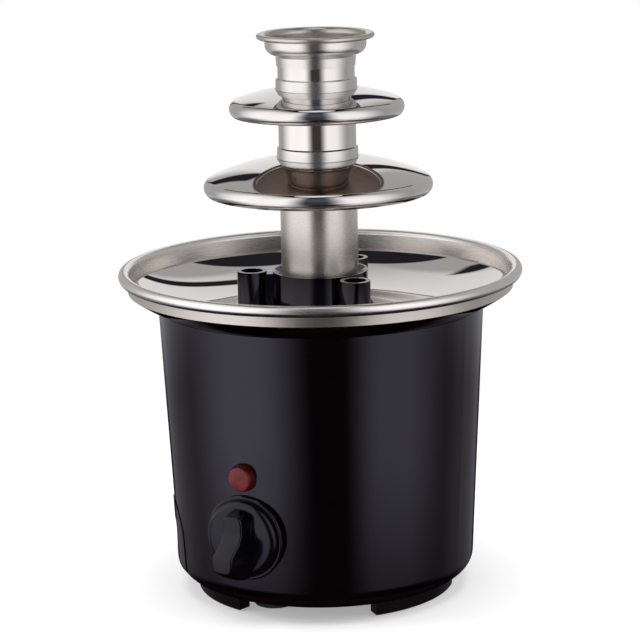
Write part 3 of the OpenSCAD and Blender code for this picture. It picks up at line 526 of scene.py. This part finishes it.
class FOUNTAIN_OT_stage(bpy.types.Operator):
    """Sets the camera, the pale floor, the lamps and the surroundings"""

    bl_idname = "fountain.stage"
    bl_label = "Stage"

    def execute(self, context):
        self.camera(context)
        self.floor()
        self.lamps()
        self.tent()
        self.surroundings(context)
        context.scene.view_settings.view_transform = "Standard"
        return {"FINISHED"}

    def camera(self, context):
        """Camera on a circle round the tower, pitched down and rolled a little."""
        data = bpy.data.cameras.new("camera")
        data.sensor_width = 36
        data.lens = CAMERA_LENS
        data.shift_x = CAMERA_SHIFT
        data.clip_start = 10 * MM
        camera = bpy.data.objects.new("camera", data)
        context.scene.collection.objects.link(camera)
        turn = math.radians(CAMERA_TURN)
        reach = sizes().camera_distance
        camera.location = (reach * math.sin(turn), -reach * math.cos(turn), sizes().camera_height)
        camera.rotation_euler = (math.radians(90 - CAMERA_PITCH), 0, turn)
        context.view_layer.update()
        camera.rotation_euler.rotate_axis("Z", math.radians(-CAMERA_ROLL))
        context.scene.camera = camera

    def floor(self):
        """A wide flat square whose colour fades to the backdrop's white away from the object."""
        half = 12.0
        points = np.array([[-half, -half, 0], [half, -half, 0], [half, half, 0], [-half, half, 0]])
        material, tree, shader, place = start_material("pale_floor")
        noise = node(tree, "ShaderNodeTexNoise", Scale=3.0, Detail=2.0)
        link(tree, place, noise.inputs["Vector"])
        pale = list(colours().floor)
        paler = [c * 1.02 for c in pale]
        link(tree, mixed(tree, noise.outputs["Fac"], pale, paler), shader.inputs["Base Color"])
        shader.inputs["Roughness"].default_value = 0.9
        shader.inputs["Specular IOR Level"].default_value = 0.0
        shader.inputs["Emission Color"].default_value = (1, 1, 1, 1)
        shader.inputs["Emission Strength"].default_value = 0.34
        far = node(tree, "ShaderNodeVectorMath", operation="LENGTH")
        link(tree, place, far.inputs[0])
        white = node(tree, "ShaderNodeEmission", Color=(1, 1, 1, 1), Strength=1.0)
        fade = tree.nodes.new("ShaderNodeMixShader")
        link(tree, ranged(tree, far.outputs["Value"], 0, 1, 0.1, 0.32), fade.inputs[0])
        link(tree, shader.outputs[0], fade.inputs[1])
        link(tree, white.outputs[0], fade.inputs[2])
        link(tree, fade.outputs[0], tree.nodes["Material Output"].inputs["Surface"])
        floor = put_mesh("floor", points, [[0, 1, 2, 3]], material)
        floor.visible_glossy = False

    def lamps(self):
        """Two tall soft lamps at the front left and right, and one overhead."""
        for name, place, size, power in (
            ("lamp_left", (-1.25, -0.75, 0.75), (0.7, 1.3), 15),
            ("lamp_right", (1.2, 0.35, 0.75), (0.7, 1.3), 10),
            ("lamp_top", (0, 0, 1.7), (1.4, 1.4), 18),
        ):
            data = bpy.data.lights.new(name, "AREA")
            data.shape = "RECTANGLE"
            data.size, data.size_y = size
            data.energy = power
            lamp = bpy.data.objects.new(name, data)
            bpy.context.scene.collection.objects.link(lamp)
            lamp.location = place
            away = np.array(place) - np.array(LAMP_AIM)
            lean = math.atan2(math.hypot(away[0], away[1]), away[2])
            lamp.rotation_euler = (lean, 0, math.atan2(away[1], away[0]) + math.pi / 2)
            lamp.visible_glossy = False
            lamp.visible_camera = False

    def tent(self):
        """A cylinder of soft boxes round the object, closed below, which gloss alone sees.

        Broad boxes stand left and right of a dark gap in front. A pale panel stands behind,
        under a dark ceiling and two dark rails.
        """
        radius, low, high, turns = 0.45, -0.6, 2.2, 120
        t = np.linspace(0, 2 * math.pi, turns, endpoint=False)
        ring = np.column_stack([radius * np.cos(t), radius * np.sin(t)])
        points = np.concatenate([np.column_stack([ring, np.full(turns, z)]) for z in (low, high)])
        material = bpy.data.materials.new("tent_panels")
        material.use_nodes = True
        material.cycles.emission_sampling = "NONE"
        tree = material.node_tree
        tree.nodes.clear()
        place = tree.nodes.new("ShaderNodeTexCoord").outputs["Object"]
        turn, z = self.round_and_up(tree, place)
        light = None
        for box in SOFT_BOXES:
            light = self.soft_box(tree, light, turn, z, *box)
        back = math_node(tree, "ABSOLUTE", turn)
        for box in PAIRED_BOXES:
            light = self.soft_box(tree, light, back, z, *box)
        dark = self.ceiling(tree, place)
        behind = ranged(tree, back, 0, 1, *RAIL_SIDE)
        for turn_back, fall, start, half, foot, head, eye in TENT_RAILS:
            rail = self.rail(tree, place, turn_back, fall, start, half, eye)
            rail = math_node(tree, "MULTIPLY", rail, behind)
            rail = math_node(tree, "MULTIPLY", rail, ranged(tree, z, 0, 1, *foot))
            rail = math_node(tree, "MULTIPLY", rail, ranged(tree, z, 1, 0, *head))
            dark = math_node(tree, "MAXIMUM", dark, rail)
        shade = tree.nodes.new("ShaderNodeMix")
        shade.data_type = "RGBA"
        link(tree, dark, shade.inputs[0])
        link(tree, light, shade.inputs[6])
        shade.inputs[7].default_value = (*DARK, 1)
        glow = node(tree, "ShaderNodeEmission", Strength=1.0)
        link(tree, shade.outputs[2], glow.inputs["Color"])
        link(tree, glow.outputs[0], tree.nodes.new("ShaderNodeOutputMaterial").inputs["Surface"])
        faces = grid_faces(2, turns, False, True).tolist() + [list(range(turns))]
        tent = put_mesh("tent", points, faces, material)
        for kind in ("camera", "diffuse", "transmission", "volume_scatter", "shadow"):
            setattr(tent, "visible_" + kind, False)

    def round_and_up(self, tree, vector):
        """Degrees round from the camera's side, from -180 to 180, and the height."""
        split = tree.nodes.new("ShaderNodeSeparateXYZ")
        link(tree, vector, split.inputs[0])
        x, y, z = split.outputs
        turn = math_node(tree, "ADD", math_node(tree, "ARCTAN2", y, x), math.radians(90 - CAMERA_TURN))
        turn = math_node(tree, "WRAP", turn, math.pi)
        turn.node.inputs[2].default_value = -math.pi
        return math_node(tree, "MULTIPLY", turn, 180 / math.pi), z

    def soft_box(self, tree, light, turn, z, level, tint, round_in, round_out, height_in, height_out):
        """The light so far plus the tint times the level and four smooth steps.

        The steps go up and down again round the object, and up and down again in height.
        """
        for source, ends in ((turn, round_in), (turn, round_out), (z, height_in), (z, height_out)):
            if ends is None:
                continue
            step = node(tree, "ShaderNodeMapRange", From_Min=ends[0], From_Max=ends[1])
            step.interpolation_type = "SMOOTHSTEP"
            link(tree, source, step.inputs["Value"])
            level = math_node(tree, "MULTIPLY", step.outputs[0], level)
        scaled = node(tree, "ShaderNodeVectorMath", operation="SCALE")
        scaled.inputs[0].default_value = tint
        link(tree, level, scaled.inputs["Scale"])
        if light is None:
            return scaled.outputs[0]
        total = node(tree, "ShaderNodeVectorMath", operation="ADD")
        link(tree, light, total.inputs[0])
        link(tree, scaled.outputs[0], total.inputs[1])
        return total.outputs[0]

    def sight(self, tree, place, eye):
        """Direction from a point on the tower to a place on the tent."""
        gap = node(tree, "ShaderNodeVectorMath", operation="SUBTRACT")
        link(tree, place, gap.inputs[0])
        gap.inputs[1].default_value = eye
        unit = node(tree, "ShaderNodeVectorMath", operation="NORMALIZE")
        link(tree, gap.outputs[0], unit.inputs[0])
        return unit.outputs[0]

    def rail(self, tree, place, turn_back, fall, start, half, eye):
        """Dark where a rail that falls away backwards over the tower stands before the tent.

        With u along the rail, d the line of sight from the tower and n the unit vector of
        u x d, the distance between the two is (place - start) . n.
        """
        turn, fall = math.radians(turn_back - 90 + CAMERA_TURN), math.radians(fall)
        along = (math.cos(turn) * math.cos(fall), math.sin(turn) * math.cos(fall), -math.sin(fall))
        across = node(tree, "ShaderNodeVectorMath", operation="CROSS_PRODUCT")
        across.inputs[0].default_value = along
        link(tree, self.sight(tree, place, eye), across.inputs[1])
        unit = node(tree, "ShaderNodeVectorMath", operation="NORMALIZE")
        link(tree, across.outputs[0], unit.inputs[0])
        reach = node(tree, "ShaderNodeVectorMath", operation="SUBTRACT")
        link(tree, place, reach.inputs[0])
        reach.inputs[1].default_value = start
        off = node(tree, "ShaderNodeVectorMath", operation="DOT_PRODUCT")
        link(tree, reach.outputs[0], off.inputs[0])
        link(tree, unit.outputs[0], off.inputs[1])
        gap = math_node(tree, "ABSOLUTE", off.outputs["Value"])
        return ranged(tree, gap, 1, 0, 0.8 * half, 1.2 * half)

    def ceiling(self, tree, place):
        """Dark over the back panel, as seen from the tower.

        Its lower edge falls by 0.93 degrees for each degree away from the back, and past the
        panel's side it drops further.
        """
        turn, z = self.round_and_up(tree, self.sight(tree, place, CEILING_EYE))
        off = math_node(tree, "ABSOLUTE", turn)
        rise = math_node(tree, "MULTIPLY", math_node(tree, "ARCSINE", z), 180 / math.pi)
        edge = ranged(tree, off, *CEILING_EDGE, CEILING_SIDE, 180.0)
        drop = ranged(tree, off, CEILING_DROP, 0.0, CEILING_SIDE - 2.0, CEILING_SIDE)
        over = math_node(tree, "SUBTRACT", rise, math_node(tree, "SUBTRACT", edge, drop))
        above = ranged(tree, over, 0, 1, -0.7, 0.7)
        return math_node(tree, "MULTIPLY", above, ranged(tree, off, 0, 1, *CEILING_END))

    def surroundings(self, context):
        """White to the camera, in gloss and through glass, plain soft light for the rest."""
        world = bpy.data.worlds.new("studio")
        context.scene.world = world
        world.use_nodes = True
        world.cycles.sampling_method = "NONE"
        tree = world.node_tree
        tree.nodes.clear()
        out = tree.nodes.new("ShaderNodeOutputWorld")
        soft = node(tree, "ShaderNodeBackground", Color=(1, 1, 1, 1), Strength=0.35)
        white = node(tree, "ShaderNodeBackground", Color=(1, 1, 1, 1), Strength=1.0)
        path = tree.nodes.new("ShaderNodeLightPath").outputs
        seen = math_node(tree, "MAXIMUM", path["Is Camera Ray"], path["Is Transmission Ray"])
        seen = math_node(tree, "MAXIMUM", seen, path["Is Glossy Ray"])
        blend = tree.nodes.new("ShaderNodeMixShader")
        link(tree, seen, blend.inputs[0])
        link(tree, soft.outputs[0], blend.inputs[1])
        link(tree, white.outputs[0], blend.inputs[2])
        link(tree, blend.outputs[0], out.inputs["Surface"])


# The point that the lamps shine at.
LAMP_AIM = (0, 0, 0.1)

# Tints of the soft boxes: plain, cooler low down, and those of the dark gap in front, low and high.
NEUTRAL = (0.99, 0.98, 1.0)
COOL = (0.97, 0.95, 1.08)
BROWN = (1.15, 0.98, 0.9)
BLUE = (0.75, 0.85, 1.4)

# The dark ceiling: the point on the tower that it is drawn from, its edge's height in degrees at its
# side and at the back, the side itself, the drop past it, and where it ends.
CEILING_EYE = (0, 0, 0.17)
CEILING_EDGE = (43.0, 71.0)
CEILING_SIDE = 149.5
CEILING_DROP = 10.0
CEILING_END = (138, 142)

# What ceiling and rails give back, and the degrees from the camera over which the rails begin.
DARK = (0.018, 0.018, 0.024)
RAIL_SIDE = (137, 143)

# Dark rails over the back panel: degrees round from the camera, degrees of fall, a point where it
# starts, half its width, the heights on the tent where it begins and ends, and where it is seen from.
TENT_RAILS = (
    (-161.8, 4.0, (0.015, 0.01, 0.49), 0.025, (0.19, 0.25), (0.45, 0.475), (-0.048, -0.0275, 0.092)),
    (164.1, 8.6, (-0.04, -0.005, 0.4675), 0.016, (0.15, 0.2), (0.555, 0.58), (0.048, 0.0275, 0.092)),
)

# Soft boxes: brightness, tint, the degrees round from the camera over which the box fades in and
# out again, and the heights in metres over which it does. Nothing there means that it goes on.
SOFT_BOXES = (
    (1.24, COOL, (-108, -60), (-5, -46), (-0.22, -0.06), (0.1, 0.0)),
    (0.92, COOL, (13, 40), (100, 55), (-0.22, -0.06), (0.1, 0.0)),
    (1.36, NEUTRAL, (-128, -72), (-11, -36), (0.0, 0.1), (2.0, 0.2)),
    (1.26, NEUTRAL, (6, 32), (106, 52), (0.0, 0.1), (2.0, 0.2)),
    (0.02, BROWN, (-60, -20), (60, 20), None, (0.36, 0.24)),
    (0.03, BROWN, (-60, -20), (60, 20), (0.02, 0.08), (0.36, 0.24)),
    (0.11, BLUE, (-60, -20), (60, 20), (0.24, 0.36), (1.6, 0.5)),
)

# Boxes that stand on both sides alike, by degrees away from the camera: the fill low down, the fill
# above it and the panel behind.
PAIRED_BOXES = (
    (0.22, COOL, (70, 110), (158, 146), (-0.3, -0.08), (0.08, 0.02)),
    (0.46, NEUTRAL, (66, 112), None, (-0.04, 0.06), (1.6, 0.8)),
    (0.48, NEUTRAL, (163, 168), None, (-0.06, 0.02), (1.0, 0.24)),
)


class FOUNTAIN_OT_bowl(bpy.types.Operator):
    """Presses the bowl: flat floor, dished mirror, brushed wall and rolled rim"""

    bl_idname = "fountain.bowl"
    bl_label = "Bowl"

    def execute(self, context):
        s = sizes()
        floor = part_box("bowl")[0][2] + s.sheet
        drop = s.bowl_wall - s.bowl_floor
        radius = (drop**2 + s.dish_rise**2) / (2 * s.dish_rise)
        centre = (s.bowl_floor, floor + radius)
        sweep = math.degrees(math.asin(drop / radius))
        under_sweep = math.degrees(math.asin((drop + s.sheet) / (radius + s.sheet)))
        roll = (s.bowl_wall + s.rim_roll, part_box("bowl")[1][2] - s.rim_roll)
        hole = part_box("shaft_bush")[1][0] * 0.6 + 0.1 * MM
        outline = np.concatenate([
            [[hole, floor]],
            arc(centre, radius, 270, 270 + sweep, 60),
            arc(roll, s.rim_roll, 180, -75, 40),
            arc(roll, s.rim_roll - s.sheet, -75, 180, 30),
            arc(centre, radius + s.sheet, 270 + under_sweep, 270, 60),
            [[hole, floor - s.sheet]],
        ])
        bowl = turned("bowl_pressed", outline, satin_steel(), sharp=25)
        second_finish(bowl, mirror_steel(), lambda centres, normals: (
            (from_axis(centres) < s.bowl_wall - 0.2 * MM)
            & (centres[:, 2] < floor + s.dish_rise)
        ))
        # The outer underside of the roll takes the darker, warmer lip steel: painted shade under the rim.
        second_finish(bowl, lip_steel(), lambda centres, normals: (
            (from_axis(centres) > s.bowl_wall + 0.3 * MM)
            & (centres[:, 2] < roll[1] - 0.35 * s.rim_roll)
        ))
        settle(bowl, "base", "bowl_steel", "bowl")
        return {"FINISHED"}


class FOUNTAIN_OT_domes(bpy.types.Operator):
    """Spins the two polished domes with their necks and turned-down edges"""

    bl_idname = "fountain.domes"
    bl_label = "Domes"

    def execute(self, context):
        # The lower dome's underside takes a painted reflection, brighter and bluer than the steel.
        self.dome("dome_lower", "tier", "lower_tier", bright_steel())
        # The upper dome's underside takes painted shade, darker and browner than the steel.
        self.dome("dome_upper", "top", "upper_tier", dull_steel())
        return {"FINISHED"}

    def dome(self, name, body, cad, underside):
        """A slice of a sphere that runs smoothly into a round edge, which curls under.

        The sphere passes through the hole's rim and touches the edge round. With D the drop
        to the round's middle, c its distance from the axis and e its radius, the distance m
        between the two centres solves (D^2 - e^2) m^2 - e K m - K^2 / 4 - D^2 c^2 = 0, where
        K = e^2 - hole^2 - D^2 + c^2.
        """
        s = sizes()
        wall = s.tube_wall
        low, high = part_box(cad)
        edge = high[0]
        e = s.edge_round
        c = edge - e
        drop = high[2] - low[2] - e * math.sin(s.edge_curl)
        middle = high[2] - drop
        k = e**2 - s.dome_hole**2 - drop**2 + c**2
        gain = drop**2 - e**2
        m = (e * k + math.sqrt((e * k) ** 2 + gain * (k**2 + (2 * drop * c) ** 2))) / (2 * gain)
        ball = m + e
        tilt = math.degrees(math.asin(c / m))
        centre = (0, middle - m * math.cos(math.radians(tilt)))
        seam = s.dome_hole + s.tube_wall + 0.25 * MM
        start = 90 - math.degrees(math.asin(seam / ball))
        inner_start = 90 - math.degrees(math.asin(s.dome_hole / (ball - wall)))
        turn = math.radians(start)
        lead = 0.5 * wall
        eave = (math.cos(turn) * (ball - lead), centre[1] + math.sin(turn) * (ball - lead))
        curl = math.degrees(s.edge_curl)
        hem = math.radians(-curl)
        foot = (c + (e - lead) * math.cos(hem), middle + (e - lead) * math.sin(hem))
        outline = np.concatenate([
            [[s.dome_hole, eave[1]]],
            arc(eave, lead, start + 90, start, 6),
            arc(centre, ball, start, 90 - tilt, 60)[1:],
            arc((c, middle), e, 90 - tilt, -curl, 40)[1:],
            arc(foot, lead, -curl, -curl - 180, 8)[1:],
            arc((c, middle), e - wall, -curl, 90 - tilt, 40)[1:],
            arc(centre, ball - wall, 90 - tilt, inner_start, 60)[1:],
        ])
        spun = turned(name, outline, mirror_steel(), sharp=40)
        # Faces that face down take the given underside steel: painted light, brighter under the lower dome
        # and darker under the upper.
        second_finish(spun, underside, lambda centres, normals: normals[:, 2] < -0.6)
        settle(spun, body, "dome_steel", cad)


class FOUNTAIN_OT_tubes(bpy.types.Operator):
    """Draws the three tower tubes, two with an expanded socket at the foot"""

    bl_idname = "fountain.tubes"
    bl_label = "Tubes"

    def execute(self, context):
        wall = sizes().tube_wall
        low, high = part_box("lower_tube")
        outer = high[0]
        straight = [[outer, low[2]], [outer, high[2]], [outer - wall, high[2]], [outer - wall, low[2]]]
        tube = turned("tube_lower", eased(straight, 0.2 * MM), tube_satin())
        settle(tube, "tower", "tube_steel", "lower_tube")
        self.socket_tube("tube_middle", "tier", "middle_tube", outer)
        self.socket_tube("tube_upper", "top", "upper_tube", outer - 0.15 * MM)
        return {"FINISHED"}

    def socket_tube(self, name, body, cad, outer):
        """Outline of a tube whose foot is swaged out by its own wall to slip over the tube below."""
        wall = sizes().tube_wall
        low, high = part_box(cad)
        collar = high[0]
        step = low[2] + sizes().socket + sizes().collar
        hidden = step - sizes().collar - 1.0 * MM
        outline = [
            [collar - 0.12 * MM, low[2]], [collar - 0.06 * MM, hidden],
            [collar, step - 2.2 * MM], [collar - 0.1 * MM, step - 0.4 * MM],
            [outer, step], [outer, high[2]], [outer - wall, high[2]], [outer - wall, step - 0.5 * MM],
            [collar - wall, step - 1.2 * MM], [collar - wall, low[2]],
        ]
        radii = np.array([0.15, 0, 2.0, 0.5, 0.25, 0.2, 0.2, 0.4, 0.4, 0.15]) * MM
        tube = turned(name, eased(outline, radii), drawn_steel())
        second_finish(tube, brushed_steel(), lambda centres, normals: centres[:, 2] < step - 0.25 * MM)
        # The foot hidden in the dome's socket takes the darker steel: painted shade.
        second_finish(tube, dull_steel(), lambda centres, normals: centres[:, 2] < hidden)
        settle(tube, body, "tube_steel", cad)


class FOUNTAIN_OT_crown(bpy.types.Operator):
    """Spins the crown: neck sleeve, rounded cup and rolled lip"""

    bl_idname = "fountain.crown"
    bl_label = "Crown"

    def execute(self, context):
        s = sizes()
        wall = s.tube_wall
        low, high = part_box("crown")
        neck_in = s.crown_bore
        neck_out = neck_in + wall
        cup_z = low[2] + s.crown_neck
        cup_out = neck_out + s.cup_round
        lip = s.crown_lip
        flare = high[0] - lip - cup_out - 0.3 * MM
        turn_z = high[2] - wall - flare
        bend = (neck_out, cup_z + s.cup_round)
        fillet = 0.6 * MM
        taper = 0.3 * MM
        outline = np.concatenate([
            [[neck_in, low[2]], [neck_out - taper, low[2]]],
            arc((neck_out + fillet, cup_z - fillet), fillet, 180, 105, 8),
            arc(bend, s.cup_round, 281, 360, 24),
            arc((cup_out + flare, turn_z), flare, 180, 96, 16),
            arc((high[0] - lip, high[2] - lip), lip, 215, 450, 26),
            arc((cup_out + flare, turn_z), flare + wall, 96, 180, 16),
            arc(bend, s.cup_round - wall, 360, 270, 20),
            [[neck_in, cup_z + wall]],
        ])
        spun = turned("crown_spun", outline, brushed_steel(), sharp=35)
        # Inward faces of the cup take the darker, warmer steel: painted shade in the hollow.
        second_finish(spun, cup_steel(), lambda centres, normals: (
            (centres[:, 0] * normals[:, 0] + centres[:, 1] * normals[:, 1] < 0)
            & (from_axis(centres) < cup_out)
        ))
        # The crown's roll takes the darker, warmer lip steel: painted shade.
        second_finish(spun, lip_steel(), lambda centres, normals: from_axis(centres) > high[0] - 2.1 * lip)
        settle(spun, "top", "crown_steel", "crown")
        return {"FINISHED"}


class FOUNTAIN_OT_housing(bpy.types.Operator):
    """Finishes the housing, cord plate, base cover, feet and hub"""

    bl_idname = "fountain.housing"
    bl_label = "Housing and hub"

    def execute(self, context):
        dress("housing", gloss_black())
        dress("cord_plate", gloss_black())
        dress("tower_hub", gloss_black())
        dress("base_cover", brown_black())
        rubber = plastic("foot_rubber", (0.02, 0.019, 0.018), 0.6, 0.8, 2200, 0.3)
        for name in ("rubber_feet", "cord_gland", "shaft_seal", "bowl_gasket"):
            dress(name, rubber)
        return {"FINISHED"}


class FOUNTAIN_OT_controls(bpy.types.Operator):
    """Finishes the knob and the lamp"""

    bl_idname = "fountain.controls"
    bl_label = "Knob and lamp"

    def execute(self, context):
        self.knob()
        # The lamp's side is the same red at 0.3 of its strength: painted shade.
        self.lamp(self.red("lamp_red", 1.0), self.red("lamp_side", 0.3))
        return {"FINISHED"}

    def red(self, name, share):
        """Cloudy red plastic, at a share of the lamp's colour. A low share makes the painted shade on the
        lamp's side.
        """
        material, tree, shader, place = start_material(name)
        noise = node(tree, "ShaderNodeTexNoise", Scale=190.0, Detail=2.0)
        link(tree, place, noise.inputs["Vector"])
        cloud = ranged(tree, noise.outputs["Fac"], 0, 1, 0.35, 0.65)
        full = [c * share for c in colours().lamp]
        link(tree, mixed(tree, cloud, [c * 0.55 for c in full], full), shader.inputs["Base Color"])
        link(tree, ranged(tree, noise.outputs["Fac"], 0.16, 0.3, *NOISE_SPAN), shader.inputs["Roughness"])
        shader.inputs["Specular IOR Level"].default_value = 0.25
        return material

    def knob(self):
        """A stepped skirt turned round the knob's axis, with a scooped fin lofted on its face.

        Each ring of the fin is a rounded oblong, |u|^n + |x|^n = 1 after scaling, with n = 3 at
        the foot, which has a waist between two lobes, and n = 6 at the top, which is a bar.
        Along the top, two arcs meet in an ogee.
        """
        s = sizes()
        low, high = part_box("knob")
        place = (0, high[1], (low[2] + high[2]) / 2)
        reach = (high[2] - low[2]) / 2
        depth = high[1] - low[1]
        outline = np.array([
            [3.03, 2.3], [12.8, 2.3], [12.8, 0], [17.2, 0], [17.2, 0.7], [16.7, 1.2], [15.9, 1.2],
            [15.9, 0.9], [15.6, 0.9], [15.6, 3.1], [13.9, 4.4], [3.03, 4.7],
        ]) * reach / 17.2
        radii = np.array([0, 0, 0.2, 0.2, 0.2, 0.2, 0.1, 0.1, 0.1, 1.2, 1.2, 0]) * MM
        stand = faced_front(place)
        skirt = turned("knob_skirt", eased(outline, radii), satin_black(), 160, stand=stand)
        foot = 2.4 * MM
        foot_top, foot_end = 13.2 * MM, -16.6 * MM
        bar_top, bar_end = 11.0 * MM, -10.4 * MM
        a = np.linspace(0, 2 * math.pi, 144, endpoint=False)
        c, d = np.cos(a), np.sin(a)
        foot_u = (foot_top + foot_end) / 2 + self.power(c, 3) * (foot_top - foot_end) / 2
        along = self.power(c, 6)
        top_u = (bar_top + bar_end) / 2 + along * (bar_top - bar_end) / 2
        u = foot_u / MM
        lobes = 1.7 * np.exp(-(((u - 6) / 3.5) ** 2)) + 1.5 * np.exp(-(((u + 7.5) / 4) ** 2))
        foot_x = self.power(d, 3) * (4.5 + lobes) * MM
        top_x = self.power(d, 6) * s.fin_half
        rings = []
        crest = depth - s.fin_drop * self.ogee(top_u)
        edge = 0.8 * MM
        for t in np.linspace(0, 1, 30):
            u = foot_u + (top_u - foot_u) * t**1.6
            x = foot_x + (top_x - foot_x) * (1 - (1 - t) ** 1.5)
            rings.append(np.column_stack([x, u, foot + (crest - edge - foot) * t]))
        for turn in np.radians(np.linspace(15, 90, 6)):
            inset = edge * (1 - math.cos(turn))
            x = top_x * (1 - inset / s.fin_half)
            u = top_u - along * inset
            rings.append(np.column_stack([x, u, crest - edge * (1 - math.sin(turn))]))
        fin = loft("knob_fin", rings, satin_black(), 50, stand)
        settle(skirt, "knob", "knob_black", "knob")
        settle(fin, "knob", "knob_black")

    def power(self, wave, n):
        """A cosine or sine bent so that the oblong's corners are those of power n."""
        return np.sign(wave) * np.abs(wave) ** (2 / n)

    def ogee(self, u):
        """One at the upper end, nought at the lower: two equal arcs that meet halfway."""
        drop, radius, start = sizes().fin_drop, 5.1 * MM, 4.5 * MM
        run = math.sqrt(4 * radius * drop - drop**2)
        v = np.clip((start - u) / run, 0, 1) * run
        rise = radius - np.sqrt(radius**2 - np.minimum(v, run / 2) ** 2)
        fall = radius - np.sqrt(radius**2 - np.minimum(run - v, run / 2) ** 2)
        return 1 - np.where(v < run / 2, rise, drop - fall) / drop

    def lamp(self, lens, side):
        """A short tapered button with a rounded edge and a slightly domed face."""
        low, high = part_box("lamp_lens")
        r = (high[0] - low[0]) / 2
        depth = high[1] - low[1]
        place = (0, high[1], (low[2] + high[2]) / 2)
        stem = 4.6 * MM
        collar = 4.9 * MM
        crown = 0.35 * MM
        soft = 1.1 * MM
        face = r - 0.7 * MM
        flange = r - 0.1 * MM
        bow = np.linspace(1, 0, 12)[1:]
        outline = np.concatenate([
            [[0, 0], [stem, 0], [stem, collar], [flange, collar], [flange, collar + 0.3 * MM]],
            arc((face - soft, depth - crown - soft), soft, 4, 82, 8),
            np.column_stack([(face - soft) * bow, depth - crown * bow**2]),
        ])
        piece = turned("lamp_cap", outline, lens, 96, stand=faced_front(place))
        # Faces that don't face the front take the darker red: painted shade on the lamp's side.
        second_finish(piece, side, lambda centres, normals: normals[:, 1] > -0.8)
        settle(piece, "base", "lamp_red", "lamp_lens")


class FOUNTAIN_OT_works(bpy.types.Operator):
    """Finishes the pieces inside: screw, drive, heater, fasteners and wiring blocks"""

    bl_idname = "fountain.works"
    bl_label = "Inner works"

    def execute(self, context):
        zinc = steel("bright_zinc", 0.25, 0.4, 3000, 0.1, (0.92, 0.95, 0.98))
        cream = plastic("cream_ceramic", (0.62, 0.56, 0.45), 0.5, 0.7, 1600, 0.2)
        white = plastic("screw_polymer", (0.74, 0.72, 0.66), 0.35, 0.5, 900, 0.1)
        dark = plastic("switch_black", (0.035, 0.035, 0.038), 0.4, 0.55, 1400, 0.15)
        sheath = steel("heater_sheath", 0.45, 0.6, 1800, 0.3, (0.42, 0.36, 0.32))
        for names, material in (
            (("cover_screws", "tie_rods", "rod_nuts", "chassis_plate", "chassis_spacers", "chassis_nuts",
              "bowl_nuts", "locating_studs", "heater_plate", "gearbox_case", "motor_can", "motor_screws",
              "bush_nut", "switch_nut", "lamp_clip", "drive_shaft", "switch_shaft"), zinc),
            (("thermostat", "thermal_fuse", "terminal_block", "lamp_body"), cream),
            (("auger", "shaft_bush"), white),
            (("switch_body",), dark),
            (("heater_ring",), sheath),
        ):
            for name in names:
                dress(name, material)
        return {"FINISHED"}


OPERATORS = (
    FOUNTAIN_OT_stage,
    FOUNTAIN_OT_bowl,
    FOUNTAIN_OT_domes,
    FOUNTAIN_OT_tubes,
    FOUNTAIN_OT_crown,
    FOUNTAIN_OT_housing,
    FOUNTAIN_OT_controls,
    FOUNTAIN_OT_works,
)


class FOUNTAIN_PT_sidebar(bpy.types.Panel):
    """Lists the fountain's operators, sizes and colours."""

    bl_idname = "FOUNTAIN_PT_sidebar"
    bl_label = "Fountain"
    bl_space_type = "VIEW_3D"
    bl_region_type = "UI"
    bl_category = "Fountain"

    def draw(self, context):
        for operator in OPERATORS:
            self.layout.operator(operator.bl_idname)
        for group in (context.scene.fountain_sizes, context.scene.fountain_colours):
            for name in group.__annotations__:
                self.layout.prop(group, name)


CLASSES = (FountainSizes, FountainColours, *OPERATORS, FOUNTAIN_PT_sidebar)


def register():
    for item in CLASSES:
        bpy.utils.register_class(item)
    bpy.types.Scene.fountain_sizes = bpy.props.PointerProperty(type=FountainSizes)
    bpy.types.Scene.fountain_colours = bpy.props.PointerProperty(type=FountainColours)


def unregister():
    del bpy.types.Scene.fountain_colours
    del bpy.types.Scene.fountain_sizes
    for item in reversed(CLASSES):
        bpy.utils.unregister_class(item)


def main():
    register()
    bpy.ops.fountain.stage()
    bpy.ops.fountain.bowl()
    bpy.ops.fountain.domes()
    bpy.ops.fountain.tubes()
    bpy.ops.fountain.crown()
    bpy.ops.fountain.housing()
    bpy.ops.fountain.controls()
    bpy.ops.fountain.works()


if __name__ == "__main__":
    main()
